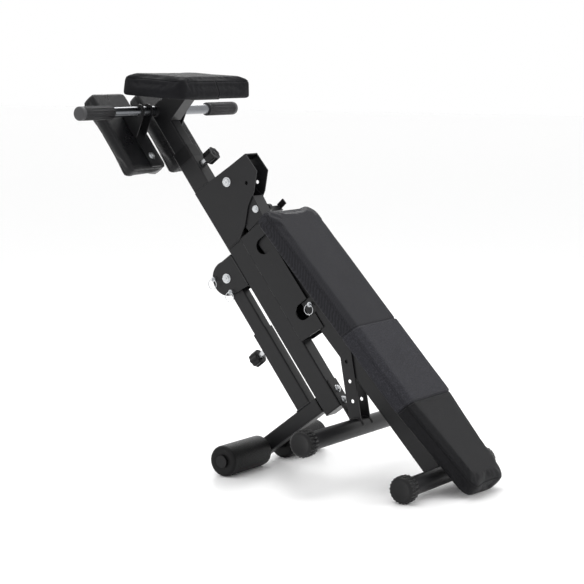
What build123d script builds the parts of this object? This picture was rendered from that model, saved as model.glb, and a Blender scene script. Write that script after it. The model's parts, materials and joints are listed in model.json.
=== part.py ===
"""Folding roman chair: a padded bench hinged to a post that carries hip pads,
a handlebar, a small top pad and a swinging arm with two foam rollers.

The hinge between the bench and the post is the datum. Two side views share it:
post coordinates (s along the post, downwards; n across it, towards the bench) and
rail coordinates (u along the bench rail, downwards; v across it, towards the pad).
X runs from the hip pads to the low end of the bench, Y across the machine, Z up.
"""
import os
from math import atan2, cos, degrees, hypot, pi, radians, sin, tan
from build123d import *

# ---- driving dimensions, in millimetres and degrees ----
post_tilt = 53.0          # post above the floor
rail_tilt = 47.0          # bench rail above the floor

plate = 4.0               # steel plate of the brackets
weld_gap = 0.1            # clearance of a fixed pin or tube in its hole
running_gap = 0.05        # radial clearance of a turning pin
slide_gap = 0.5           # clearance of a tube that slides in another
soft_gap = 0.5            # a pad's or grip's distance from its neighbour
side_gap = 1.0            # what swings between two cheeks, from each cheek

# bench
rail_reach = 1034.0       # hinge to rear stabilizer, along the rail
rail_depth = 55.0
rail_wall = 2.5
rail_below = 45.5         # underside of the rail below the hinge line
rail_start = 62.0         # upper end of the rail tube
ear_radius = 28.0
ear_end = 150.0
ear_crest = (86.0, 40.0)  # highest corner of the ears
ear_foot = (152.0, 27.0)  # lower end of their upper edge
ear_heel = 4.0            # where their lower end starts above the hinge line
ear_lap = 6.0             # the ears' lower edge above the rail's underside
web_low = (-28.5, 70.0)   # the web between the gussets, along and across the post
web_high = (-27.0, 101.0)
latch_u = 119.0
latch_v = 21.0
latch_hub_y = 34.0
latch_hub_length = 12.0
latch_hub_radius = 11.0
latch_clip_radius = 6.5
latch_washer_radius = 10.5   # small enough for the gussets to fold past
latch_head_across = 16.0
latch_bar_half = 9.0
latch_tab_y = 112.0
latch_tab_height = 26.0
latch_tab_shift = 6.0     # the finger tab, towards the hinge
stabilizer_radius = 25.0
stabilizer_wall = 2.5
stabilizer_v = -6.0
rear_half_length = 226.0
cap_radius = 37.0
cap_length = 38.0
cap_end = 4.0
cap_ribs = 22
bench_pad_start = 170.0
bench_pad_length = 970.0
bench_pad_half = 128.0
bench_pad_taper_start = 850.0
bench_pad_end_half = 92.0
bench_pad_thickness = 50.0
bench_pad_corner = 38.0
pad_lift = 53.0           # underside of the bench pad above the hinge line
pad_bracket_length = 90.0
pad_bracket_places = (250.0, 830.0)

# post
post_depth = 60.0
post_width = 50.0
post_wall = 3.0
post_top = -131.0
post_length = 840.0
post_axis = -87.0
collar_length = 40.0
tube_corner = 5.0
hook_start = 156.0
hook_inset = 201.0        # the hook channel's lower end from the post's lower end
hook_rise = 27.0
notch_first = 60.0        # upper notch from the channel's upper end
notch_last = 71.0         # lower notch from the channel's lower end
notch_radius = 23.0
notch_depth = 32.0
free_hole_s = 41.0
free_hole_n = 54.0
free_hole_radius = 5.5
prop_half_width = 19.0
prop_top_u = 435.0
prop_bend_u = 600.0
prop_v = -15.0
prop_hole_places = (0.14, 0.40, 0.66)
front_half_length = 296.0
front_stabilizer_u = 779.0
front_stabilizer_v = -131.0
strap_lap = 77.0          # how far the foot strap lies on the post
strap_thickness = 5.0
foot_bolt_insets = (45.0, 9.0)   # from the post's lower end

# hip carriage
sleeve_wall = 2.0         # the collar's sleeve, between the post and the hip tube
hip_tube_wall = 2.5
hip_tube_top = -330.0
hip_tube_length = 400.0
pin_pitch = 54.5
hip_steps_up = 2          # pop-pin places above and below the one in use
hip_steps_down = 1
hip_plunger_s = -102.0
bar_s = -314.0
bar_n = -90.0
bar_radius = 14.0
bar_wall = 2.0
bar_half_length = 361.0
grip_radius = 20.0
grip_length = 138.0
grip_end = 6.0
hip_pad_low = -154.0
hip_pad_length = 274.0
hip_pad_width = 158.0
hip_pad_gap = 24.0
hip_pad_back = -148.0
hip_pad_thickness = 55.0
hip_bracket_y = 56.0
hip_bracket_width = 44.0
hip_bolt_s = -195.0
top_pad_x = -160.0
top_pad_z = 269.0
top_pad_tilt = 3.3
top_pad_length = 230.0
top_pad_width = 338.0
top_pad_thickness = 60.0
top_plate_length = 150.0
top_plate_half = 60.0

# roller arm
arm_pivot_s = 218.0
arm_drop = 53.0           # middle of the arm behind the post's back face
arm_depth = 50.0
arm_wall = 2.5
arm_mouth_s = 398.0
arm_tube_end_s = 560.0
clevis_radius = 50.0
clevis_start_s = 170.0
clevis_inset = 2.0        # the web inside the cheeks' outline
pin_angles = (10.0, 121.0)   # the locking hole and the spare one, from the arm
clevis_low_s = 276.0
pin_circle = 42.0
arm_plunger_s = 453.0
foot_depth = 45.0
foot_clearance = 8.0      # foot tube's inner end from the post's back face
foot_beyond = 23.0        # foot tube's outer end beyond the axle
axle_radius = 12.5
axle_n = -349.0
axle_below_centre = 8.0
roller_radius = 43.0
roller_length = 180.0
roller_gap = 54.0

# fasteners and knobs
hinge_radius = 6.0
bolt_radius = 5.0
washer_radius = 14.0
washer_thickness = 2.0
head_across = 19.0
head_thickness = 7.0
barrel_radius = 9.0
barrel_length = 24.0
plunger_radius = 5.0
knob_radius = 22.0
knob_length = 29.0
knob_lobes = 8
ring_radius = 14.0
ring_wire = 1.1
pin_head_radius = 7.0
pin_head_length = 9.0
lug_thickness = 3.0
lug_reach = 6.0
lug_hole = 1.7

# ---- sizes and places that follow from the driving dimensions ----
post_back = post_axis - post_depth / 2
post_face = post_axis + post_depth / 2
post_end = post_top + post_length
hook_end = post_end - hook_inset
notch_places = (hook_start + notch_first, hook_end - notch_last)
arm_n = post_back - arm_drop
foot_inner_n = post_back - foot_clearance
foot_outer_n = axle_n - foot_beyond
rail_width = post_width - 2 * (plate + side_gap)
arm_width = post_width - 2 * (plate + side_gap)
strap_width = post_width - 2 * (plate + side_gap)
hip_tube_depth = post_depth - 2 * (post_wall + sleeve_wall)
hip_tube_width = post_width - 2 * (post_wall + sleeve_wall)
hinge_z = cap_radius + rail_reach * sin(radians(rail_tilt)) - stabilizer_v * cos(radians(rail_tilt))
bench_pad_end = bench_pad_start + bench_pad_length
hip_pad_front = hip_pad_back - hip_pad_thickness
hip_pad_top = hip_pad_low - hip_pad_length
soft_round = 16.0


def turned(tilt, along, across):
    """X and Z from the hinge of a point given along and across a member."""
    a = radians(tilt)
    return along * cos(a) + across * sin(a), across * cos(a) - along * sin(a)


# the machine's middle, between the hip pads' front corner and the bench pad's end
left_end = turned(post_tilt, hip_pad_top + soft_round, hip_pad_front + soft_round)[0] - soft_round
right_end = (
    turned(rail_tilt, bench_pad_end - soft_round, pad_lift + bench_pad_thickness - soft_round)[0]
    + soft_round
)
hinge_x = -(left_end + right_end) / 2

roller_z = roller_radius - hinge_z
axle_s = (axle_n * cos(radians(post_tilt)) - roller_z) / sin(radians(post_tilt))
foot_s = axle_s - axle_below_centre
foot_top_s = foot_s - foot_depth / 2


def side_view(tilt, y=0.0):
    """The plane of a side view: local x along the member, local y across it, normal -Y."""
    a = radians(tilt)
    return Plane(origin=(hinge_x, y, hinge_z), x_dir=(cos(a), 0, -sin(a)), z_dir=(0, -1, 0))


def cross_section(tilt, along, across):
    """The plane across a member at one place: local x across it, local y along +Y."""
    a = radians(tilt)
    x, z = turned(tilt, along, across)
    return Plane(
        origin=(hinge_x + x, 0, hinge_z + z), x_dir=(sin(a), 0, cos(a)), z_dir=(cos(a), 0, -sin(a))
    )


def face_plane(tilt, across, up=1):
    """The plane on a member's face, through the hinge's foot: local x along the member."""
    a = radians(tilt)
    x, z = turned(tilt, 0, across)
    return Plane(
        origin=(hinge_x + x, 0, hinge_z + z), x_dir=(cos(a), 0, -sin(a)),
        z_dir=(up * sin(a), 0, up * cos(a)),
    )


def square_tube(tilt, start, length, across, depth, width, wall):
    """Add a hollow rectangular tube to the part being built."""
    inner_corner = max(tube_corner - wall, 1.0)
    with BuildSketch(cross_section(tilt, start, across)) as section:
        RectangleRounded(depth, width, tube_corner)
        RectangleRounded(depth - 2 * wall, width - 2 * wall, inner_corner, mode=Mode.SUBTRACT)
    extrude(section.sketch, amount=length)


def cross_hole(tilt, along, across, radius, y_low, y_high):
    """Cut a round hole along Y through whatever of the part lies between two values of Y."""
    with BuildSketch(side_view(tilt, y_high)) as hole:
        with Locations((along, across)):
            Circle(radius)
    extrude(hole.sketch, amount=y_high - y_low, mode=Mode.SUBTRACT)


def face_hole(tilt, along, y, face, up, radius, depth):
    """Cut a round hole through a member's face; up is the way the face looks."""
    with BuildSketch(face_plane(tilt, face, up)) as hole:
        with Locations((along, up * y)):
            Circle(radius)
    extrude(hole.sketch, amount=-depth, mode=Mode.SUBTRACT)


def cross_tube(tilt, along, across, radius, bore, y_low, y_high):
    """Add a round bar or tube that runs along Y."""
    with BuildSketch(side_view(tilt, y_high)) as section:
        with Locations((along, across)):
            Circle(radius)
            if bore > 0:
                Circle(bore, mode=Mode.SUBTRACT)
    extrude(section.sketch, amount=y_high - y_low)


def link(points, half_width):
    """Add a round-ended strip through a list of points to the sketch being drawn."""
    for (x0, y0), (x1, y1) in zip(points, points[1:]):
        with Locations(((x0 + x1) / 2, (y0 + y1) / 2)):
            SlotCenterToCenter(
                hypot(x1 - x0, y1 - y0), 2 * half_width, rotation=degrees(atan2(y1 - y0, x1 - x0))
            )


def finish(part, name):
    """Name a piece and write its file."""
    part.label = name
    export_step(part, f"parts/{name}.step")


def make_bolt(name, tilt, along, across, radius, grip_half):
    """A bolt along Y with a washer and hexagon at each end of its grip."""
    with BuildPart() as bolt:
        outer = grip_half + washer_thickness
        cross_tube(tilt, along, across, radius, 0, -outer, outer)
        for low in (-outer, grip_half):
            cross_tube(tilt, along, across, washer_radius, 0, low, low + washer_thickness)
        for low in (-outer - head_thickness, outer):
            with BuildSketch(side_view(tilt, low + head_thickness)) as head:
                with Locations((along, across)):
                    RegularPolygon(head_across / 2, 6, major_radius=False)
            extrude(head.sketch, amount=head_thickness)
    finish(bolt.part, name)


def make_face_bolt(name, tilt, along, y, face, up, stem):
    """A hexagon bolt that stands on a member's face, its stem going in below the washer."""
    with BuildPart() as bolt:
        with BuildSketch(face_plane(tilt, face, up)) as washer:
            with Locations((along, up * y)):
                Circle(washer_radius - 3)
        extrude(washer.sketch, amount=washer_thickness)
        with BuildSketch(face_plane(tilt, face + up * washer_thickness, up)) as head:
            with Locations((along, up * y)):
                RegularPolygon(head_across / 2 - 1.5, 6, major_radius=False)
        extrude(head.sketch, amount=head_thickness - 1)
        with BuildSketch(face_plane(tilt, face, up)) as shank:
            with Locations((along, up * y)):
                Circle(bolt_radius - 1)
        extrude(shank.sketch, amount=-stem)
    finish(bolt.part, name)


def make_stabilizer(name, tilt, along, across, half_length):
    """A round cross tube that the machine stands on."""
    with BuildPart() as tube:
        bore = stabilizer_radius - stabilizer_wall
        cross_tube(tilt, along, across, stabilizer_radius, bore, -half_length, half_length)
    finish(tube.part, name)


def make_cap(name, tilt, along, across, half_length, side):
    """A ribbed cap over one end of a stabilizer; side is -1 for -Y and 1 for +Y."""
    tip = side * (half_length + cap_end)
    root = tip - side * cap_length
    low, high = min(tip, root), max(tip, root)
    core = cap_radius - 3.0
    with BuildPart() as cap:
        with BuildSketch(side_view(tilt, high)) as section:
            with Locations((along, across)):
                Circle(core)
                with PolarLocations(core, cap_ribs):
                    Rectangle(2 * (cap_radius - core), 0.45 * 2 * pi * core / cap_ribs)
        extrude(section.sketch, amount=high - low)
        seat = side * half_length
        cross_hole(
            tilt, along, across, stabilizer_radius + weld_gap, min(root, seat), max(root, seat)
        )
    finish(cap.part, name)


def make_barrel(name, tilt, along, face, up):
    """The threaded barrel of a pop-pin, welded to a tube's face."""
    with BuildPart() as barrel:
        with BuildSketch(face_plane(tilt, face, up)) as section:
            with Locations((along, 0)):
                RegularPolygon(barrel_radius, 6, major_radius=False)
                Circle(plunger_radius + running_gap, mode=Mode.SUBTRACT)
        extrude(section.sketch, amount=barrel_length)
    finish(barrel.part, name)


def make_knob(name, tilt, along, face, up, tip):
    """A lobed pull knob with its plunger; tip is how far the plunger goes in below the face."""
    base = barrel_length + 1.5
    with BuildPart() as knob:
        with BuildSketch(face_plane(tilt, face + up * base, up)) as grip:
            with Locations((along, 0)):
                Circle(knob_radius - 1.5)
                with PolarLocations(knob_radius - 4, knob_lobes):
                    Circle(4)
        extrude(grip.sketch, amount=knob_length)
        with BuildSketch(face_plane(tilt, face - up * tip, up)) as rod:
            with Locations((along, 0)):
                Circle(plunger_radius)
        extrude(rod.sketch, amount=tip + base)
    finish(knob.part, name)


def face_axis(tilt, up=1):
    """The direction that a member's face looks in."""
    a = radians(tilt)
    return Axis((0, 0, 0), (up * sin(a), 0, up * cos(a)))


def make_cushion(name, tilt, along, y, face, up, size, rounds):
    """A plain padded block on a face: size is length, width, thickness; rounds is front, back."""
    length, width, thickness = size
    with BuildPart() as cushion:
        with BuildSketch(face_plane(tilt, face, up)) as outline:
            with Locations((along, up * y)):
                RectangleRounded(length, width, soft_round)
        extrude(outline.sketch, amount=thickness)
        fillet(cushion.faces().sort_by(face_axis(tilt, up))[-1].edges(), rounds[0])
        fillet(cushion.faces().sort_by(face_axis(tilt, up))[0].edges(), rounds[1])
    finish(cushion.part, name)


def make_plate(name, tilt, outline_points, y_low, holes=()):
    """A flat plate seen from the side; holes is a list of (along, across, radius)."""
    with BuildPart() as sheet:
        with BuildSketch(side_view(tilt, y_low + plate)) as outline:
            with BuildLine():
                Polyline(*outline_points, close=True)
            make_face()
            for along, across, radius in holes:
                with Locations((along, across)):
                    Circle(radius, mode=Mode.SUBTRACT)
        extrude(outline.sketch, amount=plate)
    finish(sheet.part, name)


os.makedirs("parts", exist_ok=True)
rail_middle = rail_depth / 2 - rail_below
rail_top = rail_depth - rail_below
ear_inner = rail_width / 2
ear_outer = ear_inner + plate
side_inner = post_width / 2
side_outer = side_inner + plate
strap_start = post_end - strap_lap
foot_bolt_places = [post_end - inset for inset in foot_bolt_insets]
link_outer = side_inner
link_inner = side_inner - plate
hip_tube_face = post_axis + hip_tube_depth / 2
hip_tube_back = post_axis - hip_tube_depth / 2

# ======== bench: rail, ears, rear stabilizer, pad brackets, pad ========
weld_lap = 4.0
tube_end = rail_reach - stabilizer_radius + weld_lap
with BuildPart() as rail:
    square_tube(
        rail_tilt, rail_start, tube_end - rail_start, rail_middle, rail_depth, rail_width, rail_wall
    )
    cross_hole(
        rail_tilt, rail_reach, stabilizer_v, stabilizer_radius + weld_gap, -rail_width, rail_width
    )
    cross_hole(rail_tilt, prop_top_u, prop_v, bolt_radius + 1, -rail_width, 0)
finish(rail.part, "rail")

ear_under = ear_lap - rail_below
for low, ear_name in ((-ear_outer, "rail_ear_near"), (ear_inner, "rail_ear_far")):
    with BuildPart() as ear:
        with BuildSketch(side_view(rail_tilt, low + plate)) as outline:
            with BuildLine():
                Polyline(
                    (0, -ear_radius), (rail_start, ear_under), (ear_end, ear_under),
                    (ear_end, ear_heel), ear_foot, ear_crest, (0, ear_radius), close=True,
                )
            make_face()
            Circle(ear_radius)
            Circle(hinge_radius + running_gap, mode=Mode.SUBTRACT)
            with Locations((latch_u, latch_v)):
                Circle(bolt_radius + weld_gap, mode=Mode.SUBTRACT)
        extrude(outline.sketch, amount=plate)
        if ear_name == "rail_ear_far":
            # the bent flange that closes the top, from this ear to the other
            with BuildSketch(side_view(rail_tilt, ear_inner)) as flange:
                with BuildLine():
                    Polyline(
                        ear_crest, ear_foot, (ear_foot[0], ear_foot[1] - plate),
                        (ear_crest[0], ear_crest[1] - plate), close=True,
                    )
                make_face()
            extrude(flange.sketch, amount=2 * ear_inner)
    finish(ear.part, ear_name)

make_stabilizer("rear_stabilizer", rail_tilt, rail_reach, stabilizer_v, rear_half_length)
make_cap("rear_cap_near", rail_tilt, rail_reach, stabilizer_v, rear_half_length, -1)
make_cap("rear_cap_far", rail_tilt, rail_reach, stabilizer_v, rear_half_length, 1)

bracket_half = 75.0
bracket_names = ("pad_bracket_upper", "pad_bracket_lower")
for start, bracket_name in zip(pad_bracket_places, bracket_names):
    height = pad_lift - soft_gap - rail_top
    with BuildPart() as bracket:
        with BuildSketch(cross_section(rail_tilt, start, rail_top)) as section:
            with Locations((height / 2, 0)):
                Rectangle(height, rail_width)
                Rectangle(height, rail_width - 2 * plate, mode=Mode.SUBTRACT)
            with Locations((height - plate / 2, 0)):
                Rectangle(plate, 2 * bracket_half)
        extrude(section.sketch, amount=pad_bracket_length)
    finish(bracket.part, bracket_name)

with BuildPart() as bench_pad:
    with BuildSketch(face_plane(rail_tilt, pad_lift)) as outline:
        with BuildLine():
            Polyline(
                (bench_pad_start, -bench_pad_half), (bench_pad_taper_start, -bench_pad_half),
                (bench_pad_end, -bench_pad_end_half), (bench_pad_end, bench_pad_end_half),
                (bench_pad_taper_start, bench_pad_half), (bench_pad_start, bench_pad_half),
                close=True,
            )
        make_face()
        fillet(outline.vertices().group_by(Axis.X)[0], bench_pad_corner)
        fillet(outline.vertices().group_by(Axis.X)[-1], bench_pad_corner)
    extrude(outline.sketch, amount=bench_pad_thickness)
    fillet(bench_pad.faces().sort_by(face_axis(rail_tilt))[-1].edges(), soft_round)
    fillet(bench_pad.faces().sort_by(face_axis(rail_tilt))[0].edges(), 10)
finish(bench_pad.part, "bench_pad")

# ======== latch lever: a hub on the latch bolt's far end, a flat bar and a finger tab ========
hub_end = latch_hub_y + latch_hub_length
bar_v = latch_v - latch_hub_radius + plate / 2
tab_v = bar_v - plate / 2 + latch_tab_height / 2
with BuildPart() as latch_lever:
    cross_tube(
        rail_tilt, latch_u, latch_v, latch_hub_radius, bolt_radius + running_gap, latch_hub_y,
        hub_end,
    )
    with BuildSketch(side_view(rail_tilt, latch_tab_y)) as bar:
        with Locations((latch_u, bar_v)):
            Rectangle(2 * latch_bar_half, plate)
    extrude(bar.sketch, amount=latch_tab_y - latch_hub_y)
    cross_hole(rail_tilt, latch_u, latch_v, bolt_radius + running_gap, latch_hub_y, hub_end)
    with BuildSketch(side_view(rail_tilt, latch_tab_y)) as tab:
        with Locations((latch_u - latch_tab_shift, tab_v)):
            Rectangle(2 * latch_bar_half, latch_tab_height)
    extrude(tab.sketch, amount=plate)
finish(latch_lever.part, "latch_lever")

with BuildPart() as latch_bolt:
    seat = ear_outer + washer_thickness
    clip_y = hub_end + soft_gap
    bolt_end = clip_y + washer_thickness
    cross_tube(rail_tilt, latch_u, latch_v, bolt_radius, 0, -seat, bolt_end)
    for low in (-seat, ear_outer):
        high = low + washer_thickness
        cross_tube(rail_tilt, latch_u, latch_v, latch_washer_radius, 0, low, high)
    for low in (-seat - head_thickness, seat):
        with BuildSketch(side_view(rail_tilt, low + head_thickness)) as head:
            with Locations((latch_u, latch_v)):
                RegularPolygon(latch_head_across / 2, 6, major_radius=False)
        extrude(head.sketch, amount=head_thickness)
    cross_tube(rail_tilt, latch_u, latch_v, latch_clip_radius, 0, clip_y, bolt_end)
finish(latch_bolt.part, "latch_bolt")

# ======== post: tube, collar, plug, gussets, hook channel ========
with BuildPart() as post_tube:
    square_tube(post_tilt, post_top, post_length, post_axis, post_depth, post_width, post_wall)
    face_hole(
        post_tilt, hip_plunger_s, 0, post_face, 1, plunger_radius + running_gap, 2 * post_wall
    )
finish(post_tube.part, "post_tube")

with BuildPart() as post_collar:
    with BuildSketch(cross_section(post_tilt, post_top - collar_length, post_axis)) as section:
        RectangleRounded(post_depth, post_width, tube_corner)
    extrude(section.sketch, amount=collar_length)
    with BuildSketch(cross_section(post_tilt, post_top, post_axis)) as sleeve:
        inset = 2 * (post_wall + weld_gap)
        RectangleRounded(post_depth - inset, post_width - inset, tube_corner - post_wall)
    extrude(sleeve.sketch, amount=collar_length / 2 - 1)
    with BuildSketch(cross_section(post_tilt, post_top - collar_length, post_axis)) as bore:
        RectangleRounded(hip_tube_depth + slide_gap, hip_tube_width + slide_gap, tube_corner)
    extrude(bore.sketch, amount=2 * collar_length, mode=Mode.SUBTRACT)
finish(post_collar.part, "post_collar")

with BuildPart() as post_plug:
    with BuildSketch(cross_section(post_tilt, post_end, post_axis)) as section:
        RectangleRounded(post_depth, post_width, tube_corner)
    extrude(section.sketch, amount=plate)
    with BuildSketch(cross_section(post_tilt, post_end, post_axis)) as inside:
        inset = 2 * (post_wall + slide_gap)
        RectangleRounded(post_depth - inset, post_width - inset, 2)
    extrude(inside.sketch, amount=-20)
finish(post_plug.part, "post_plug")

gusset_outline = [
    (-37, post_back + 3), (-37, post_face - 7), (-30, 38), (-27, 101), (35, 104), (76, 60),
    (97, 20), (134, -21), (hook_start - 1, post_face - 2), (hook_start - 1, post_back + 5),
]
gusset_holes = [
    (0, 0, hinge_radius + weld_gap), (free_hole_s, free_hole_n, free_hole_radius),
]
make_plate("gusset_near", post_tilt, gusset_outline, -side_outer, gusset_holes)
make_plate("gusset_far", post_tilt, gusset_outline, side_inner, gusset_holes)
with BuildPart() as gusset_web:
    with BuildSketch(side_view(post_tilt, side_inner)) as web:
        with BuildLine():
            Polyline(
                web_low, web_high, (web_high[0] + plate, web_high[1]),
                (web_low[0] + plate, web_low[1]), close=True,
            )
        make_face()
    extrude(web.sketch, amount=2 * side_inner)
finish(gusset_web.part, "gusset_web")
make_bolt("hinge_bolt", post_tilt, 0, 0, hinge_radius, side_outer)

hook_outline = [
    (hook_start, post_face), (hook_start, hook_rise), (hook_end, hook_rise + 3),
    (hook_end - 6, post_face),
]
with BuildPart() as hook_channel:
    for low in (-side_outer, side_inner):
        with BuildSketch(side_view(post_tilt, low + plate)) as cheek:
            with BuildLine():
                Polyline(*hook_outline, close=True)
            make_face()
            for place in notch_places:
                with Locations((place, hook_rise - notch_depth)):
                    Circle(notch_radius, mode=Mode.SUBTRACT)
                with Locations((place, hook_rise)):
                    Rectangle(2 * notch_radius, 2 * notch_depth, mode=Mode.SUBTRACT)
        extrude(cheek.sketch, amount=plate)
    with BuildSketch(side_view(post_tilt, side_outer)) as web:
        with BuildLine():
            Polyline(
                (hook_start, post_face), (hook_start, post_face + plate),
                (hook_end - 6, post_face + plate), (hook_end - 6, post_face), close=True,
            )
        make_face()
    extrude(web.sketch, amount=2 * side_outer)
finish(hook_channel.part, "hook_channel")

# ======== front stabilizer, prop plates, foot strap ========
make_stabilizer(
    "front_stabilizer", rail_tilt, front_stabilizer_u, front_stabilizer_v, front_half_length
)
make_cap("front_cap_near", rail_tilt, front_stabilizer_u, front_stabilizer_v, front_half_length, -1)
make_cap("front_cap_far", rail_tilt, front_stabilizer_u, front_stabilizer_v, front_half_length, 1)

prop_line = [
    (prop_top_u, prop_v), (prop_bend_u, prop_v), (front_stabilizer_u, front_stabilizer_v),
]
for low, prop_name in ((-link_outer, "prop_near"), (link_inner, "prop_far")):
    with BuildPart() as prop:
        with BuildSketch(side_view(rail_tilt, low + plate)) as outline:
            link(prop_line, prop_half_width)
            with Locations((prop_top_u, prop_v)):
                Circle(bolt_radius + running_gap, mode=Mode.SUBTRACT)
            for share in prop_hole_places:
                run = front_stabilizer_u - prop_bend_u
                drop = front_stabilizer_v - prop_v
                with Locations((prop_bend_u + share * run, prop_v + share * drop)):
                    Circle(free_hole_radius, mode=Mode.SUBTRACT)
            with Locations((front_stabilizer_u, front_stabilizer_v)):
                Circle(stabilizer_radius + weld_gap, mode=Mode.SUBTRACT)
        extrude(outline.sketch, amount=plate)
    finish(prop.part, prop_name)

front_x, front_z = turned(rail_tilt, front_stabilizer_u, front_stabilizer_v)
front_s = front_x * cos(radians(post_tilt)) - front_z * sin(radians(post_tilt))
front_n = front_x * sin(radians(post_tilt)) + front_z * cos(radians(post_tilt))
strap_end = front_s
strap_top = post_face + strap_thickness
with BuildPart() as foot_strap:
    with BuildSketch(face_plane(post_tilt, post_face)) as outline:
        with Locations(((strap_start + strap_end) / 2, 0)):
            RectangleRounded(strap_end - strap_start, strap_width, 4)
    extrude(outline.sketch, amount=strap_thickness)
    cross_hole(
        post_tilt, front_s, front_n, stabilizer_radius + weld_gap, -strap_width, strap_width
    )
    for place in foot_bolt_places:
        face_hole(post_tilt, place, 0, strap_top, 1, bolt_radius - 1 + weld_gap, strap_thickness)
finish(foot_strap.part, "foot_strap")
for place, bolt_name in zip(foot_bolt_places, ("foot_bolt_upper", "foot_bolt_lower")):
    make_face_bolt(bolt_name, post_tilt, place, 0, strap_top, 1, strap_thickness - 1)

# ======== pop-pin on the post ========
make_barrel("post_barrel", post_tilt, hip_plunger_s, post_face, 1)
make_knob("post_knob", post_tilt, hip_plunger_s, post_face, 1, post_wall + 1.5)

# ======== hip carriage: tube, handlebar, brackets, pads ========
with BuildPart() as hip_tube:
    square_tube(
        post_tilt, hip_tube_top, hip_tube_length, post_axis, hip_tube_depth, hip_tube_width,
        hip_tube_wall,
    )
    for step in range(-hip_steps_down, hip_steps_up + 1):
        place = hip_plunger_s + step * pin_pitch
        face_hole(
            post_tilt, place, 0, hip_tube_face, 1, plunger_radius + slide_gap, 2 * hip_tube_wall
        )
    cross_hole(post_tilt, bar_s, bar_n, bar_radius + weld_gap, -hip_tube_width, hip_tube_width)
finish(hip_tube.part, "hip_tube")

with BuildPart() as handlebar:
    cross_tube(
        post_tilt, bar_s, bar_n, bar_radius, bar_radius - bar_wall, -bar_half_length + grip_end,
        bar_half_length - grip_end,
    )
finish(handlebar.part, "handlebar")

for side, grip_name in ((-1, "grip_near"), (1, "grip_far")):
    tip = side * bar_half_length
    root = tip - side * grip_length
    bar_tip = tip - side * grip_end
    with BuildPart() as grip:
        cross_tube(post_tilt, bar_s, bar_n, grip_radius, 0, min(tip, root), max(tip, root))
        fillet(grip.faces().sort_by(Axis.Y)[0 if side < 0 else -1].edges(), 3)
        cross_hole(
            post_tilt, bar_s, bar_n, bar_radius + weld_gap, min(bar_tip, root), max(bar_tip, root)
        )
    finish(grip.part, grip_name)

hip_web = hip_pad_back + soft_gap
hip_web_low = hip_pad_low - 6
hip_web_high = bar_s - 31
hip_flange_high = hip_web_high + 5
hip_flange_low = bar_s + 52
for side, bracket_name in ((-1, "hip_bracket_near"), (1, "hip_bracket_far")):
    inner = side * hip_bracket_y
    outer = side * (hip_bracket_y + hip_bracket_width)
    middle = (inner + outer) / 2
    with BuildPart() as hip_bracket:
        with BuildSketch(face_plane(post_tilt, hip_web)) as web:
            with Locations(((hip_web_low + hip_web_high) / 2, middle)):
                RectangleRounded(hip_web_low - hip_web_high, hip_bracket_width, 4)
        extrude(web.sketch, amount=plate)
        face_hole(
            post_tilt, hip_bolt_s, middle, hip_web + plate, 1, bolt_radius - 1 + weld_gap, plate
        )
        for low in (min(inner, outer), max(inner, outer) - plate):
            with BuildSketch(side_view(post_tilt, low + plate)) as flange:
                with Locations((bar_s, bar_n)):
                    Circle(bar_radius + 7)
                with Locations(((hip_flange_high + hip_flange_low) / 2, hip_web + plate + 2)):
                    Rectangle(hip_flange_low - hip_flange_high, 4)
                make_hull()
            extrude(flange.sketch, amount=plate)
        cross_hole(
            post_tilt, bar_s, bar_n, bar_radius + weld_gap, -bar_half_length, bar_half_length
        )
    finish(hip_bracket.part, bracket_name)
    bolt_name = bracket_name.replace("bracket", "bolt")
    make_face_bolt(bolt_name, post_tilt, hip_bolt_s, middle, hip_web + plate, 1, plate - 1)

hip_pad_size = (hip_pad_length, hip_pad_width, hip_pad_thickness)
hip_pad_y = hip_pad_gap + hip_pad_width / 2
for side, pad_name in ((-1, "hip_pad_near"), (1, "hip_pad_far")):
    make_cushion(
        pad_name, post_tilt, hip_pad_low - hip_pad_length / 2, side * hip_pad_y, hip_pad_back, -1,
        hip_pad_size, (soft_round, 8),
    )

pad_angle = radians(top_pad_tilt)
saddle_half = hip_tube_width / 2
top_plate_under = top_pad_thickness / 2 + soft_gap + plate


def under_plate(x):
    """Height above the hinge of the top plate's underside, at a distance from the hinge."""
    return top_pad_z - top_plate_under / cos(pad_angle) - (x - top_pad_x) * tan(pad_angle)


saddle_low = turned(post_tilt, bar_s + 55, hip_tube_face + 1)
saddle_high = (top_pad_x + 12, under_plate(top_pad_x + 12))
saddle_outline = [
    turned(post_tilt, bar_s, hip_tube_back), saddle_low, saddle_high,
    (top_pad_x - 68, under_plate(top_pad_x - 68)),
]
with BuildPart() as saddle:
    for low in (-saddle_half - plate, saddle_half):
        with BuildSketch(side_view(0, low + plate)) as cheek:
            with BuildLine():
                Polyline(*saddle_outline, close=True)
            make_face()
        extrude(cheek.sketch, amount=plate)
    with BuildSketch(side_view(0, saddle_half)) as front:
        with BuildLine():
            Polyline(
                saddle_low, saddle_high, (saddle_high[0] - plate, saddle_high[1]),
                (saddle_low[0] - plate, saddle_low[1] + plate), close=True,
            )
        make_face()
    extrude(front.sketch, amount=2 * saddle_half)
    cross_hole(post_tilt, bar_s, bar_n, bar_radius + weld_gap, -hip_tube_width, hip_tube_width)
finish(saddle.part, "saddle")


def top_plane(lift):
    """A plane parallel to the top pad, a given distance above its middle."""
    x = hinge_x + top_pad_x + lift * sin(pad_angle)
    z = hinge_z + top_pad_z + lift * cos(pad_angle)
    return Plane(
        origin=(x, 0, z), x_dir=(cos(pad_angle), 0, -sin(pad_angle)),
        z_dir=(sin(pad_angle), 0, cos(pad_angle)),
    )


with BuildPart() as top_plate:
    with BuildSketch(top_plane(-top_pad_thickness / 2 - soft_gap)) as outline:
        RectangleRounded(top_plate_length, 2 * top_plate_half, 8)
    extrude(outline.sketch, amount=-plate)
finish(top_plate.part, "top_plate")

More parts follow.
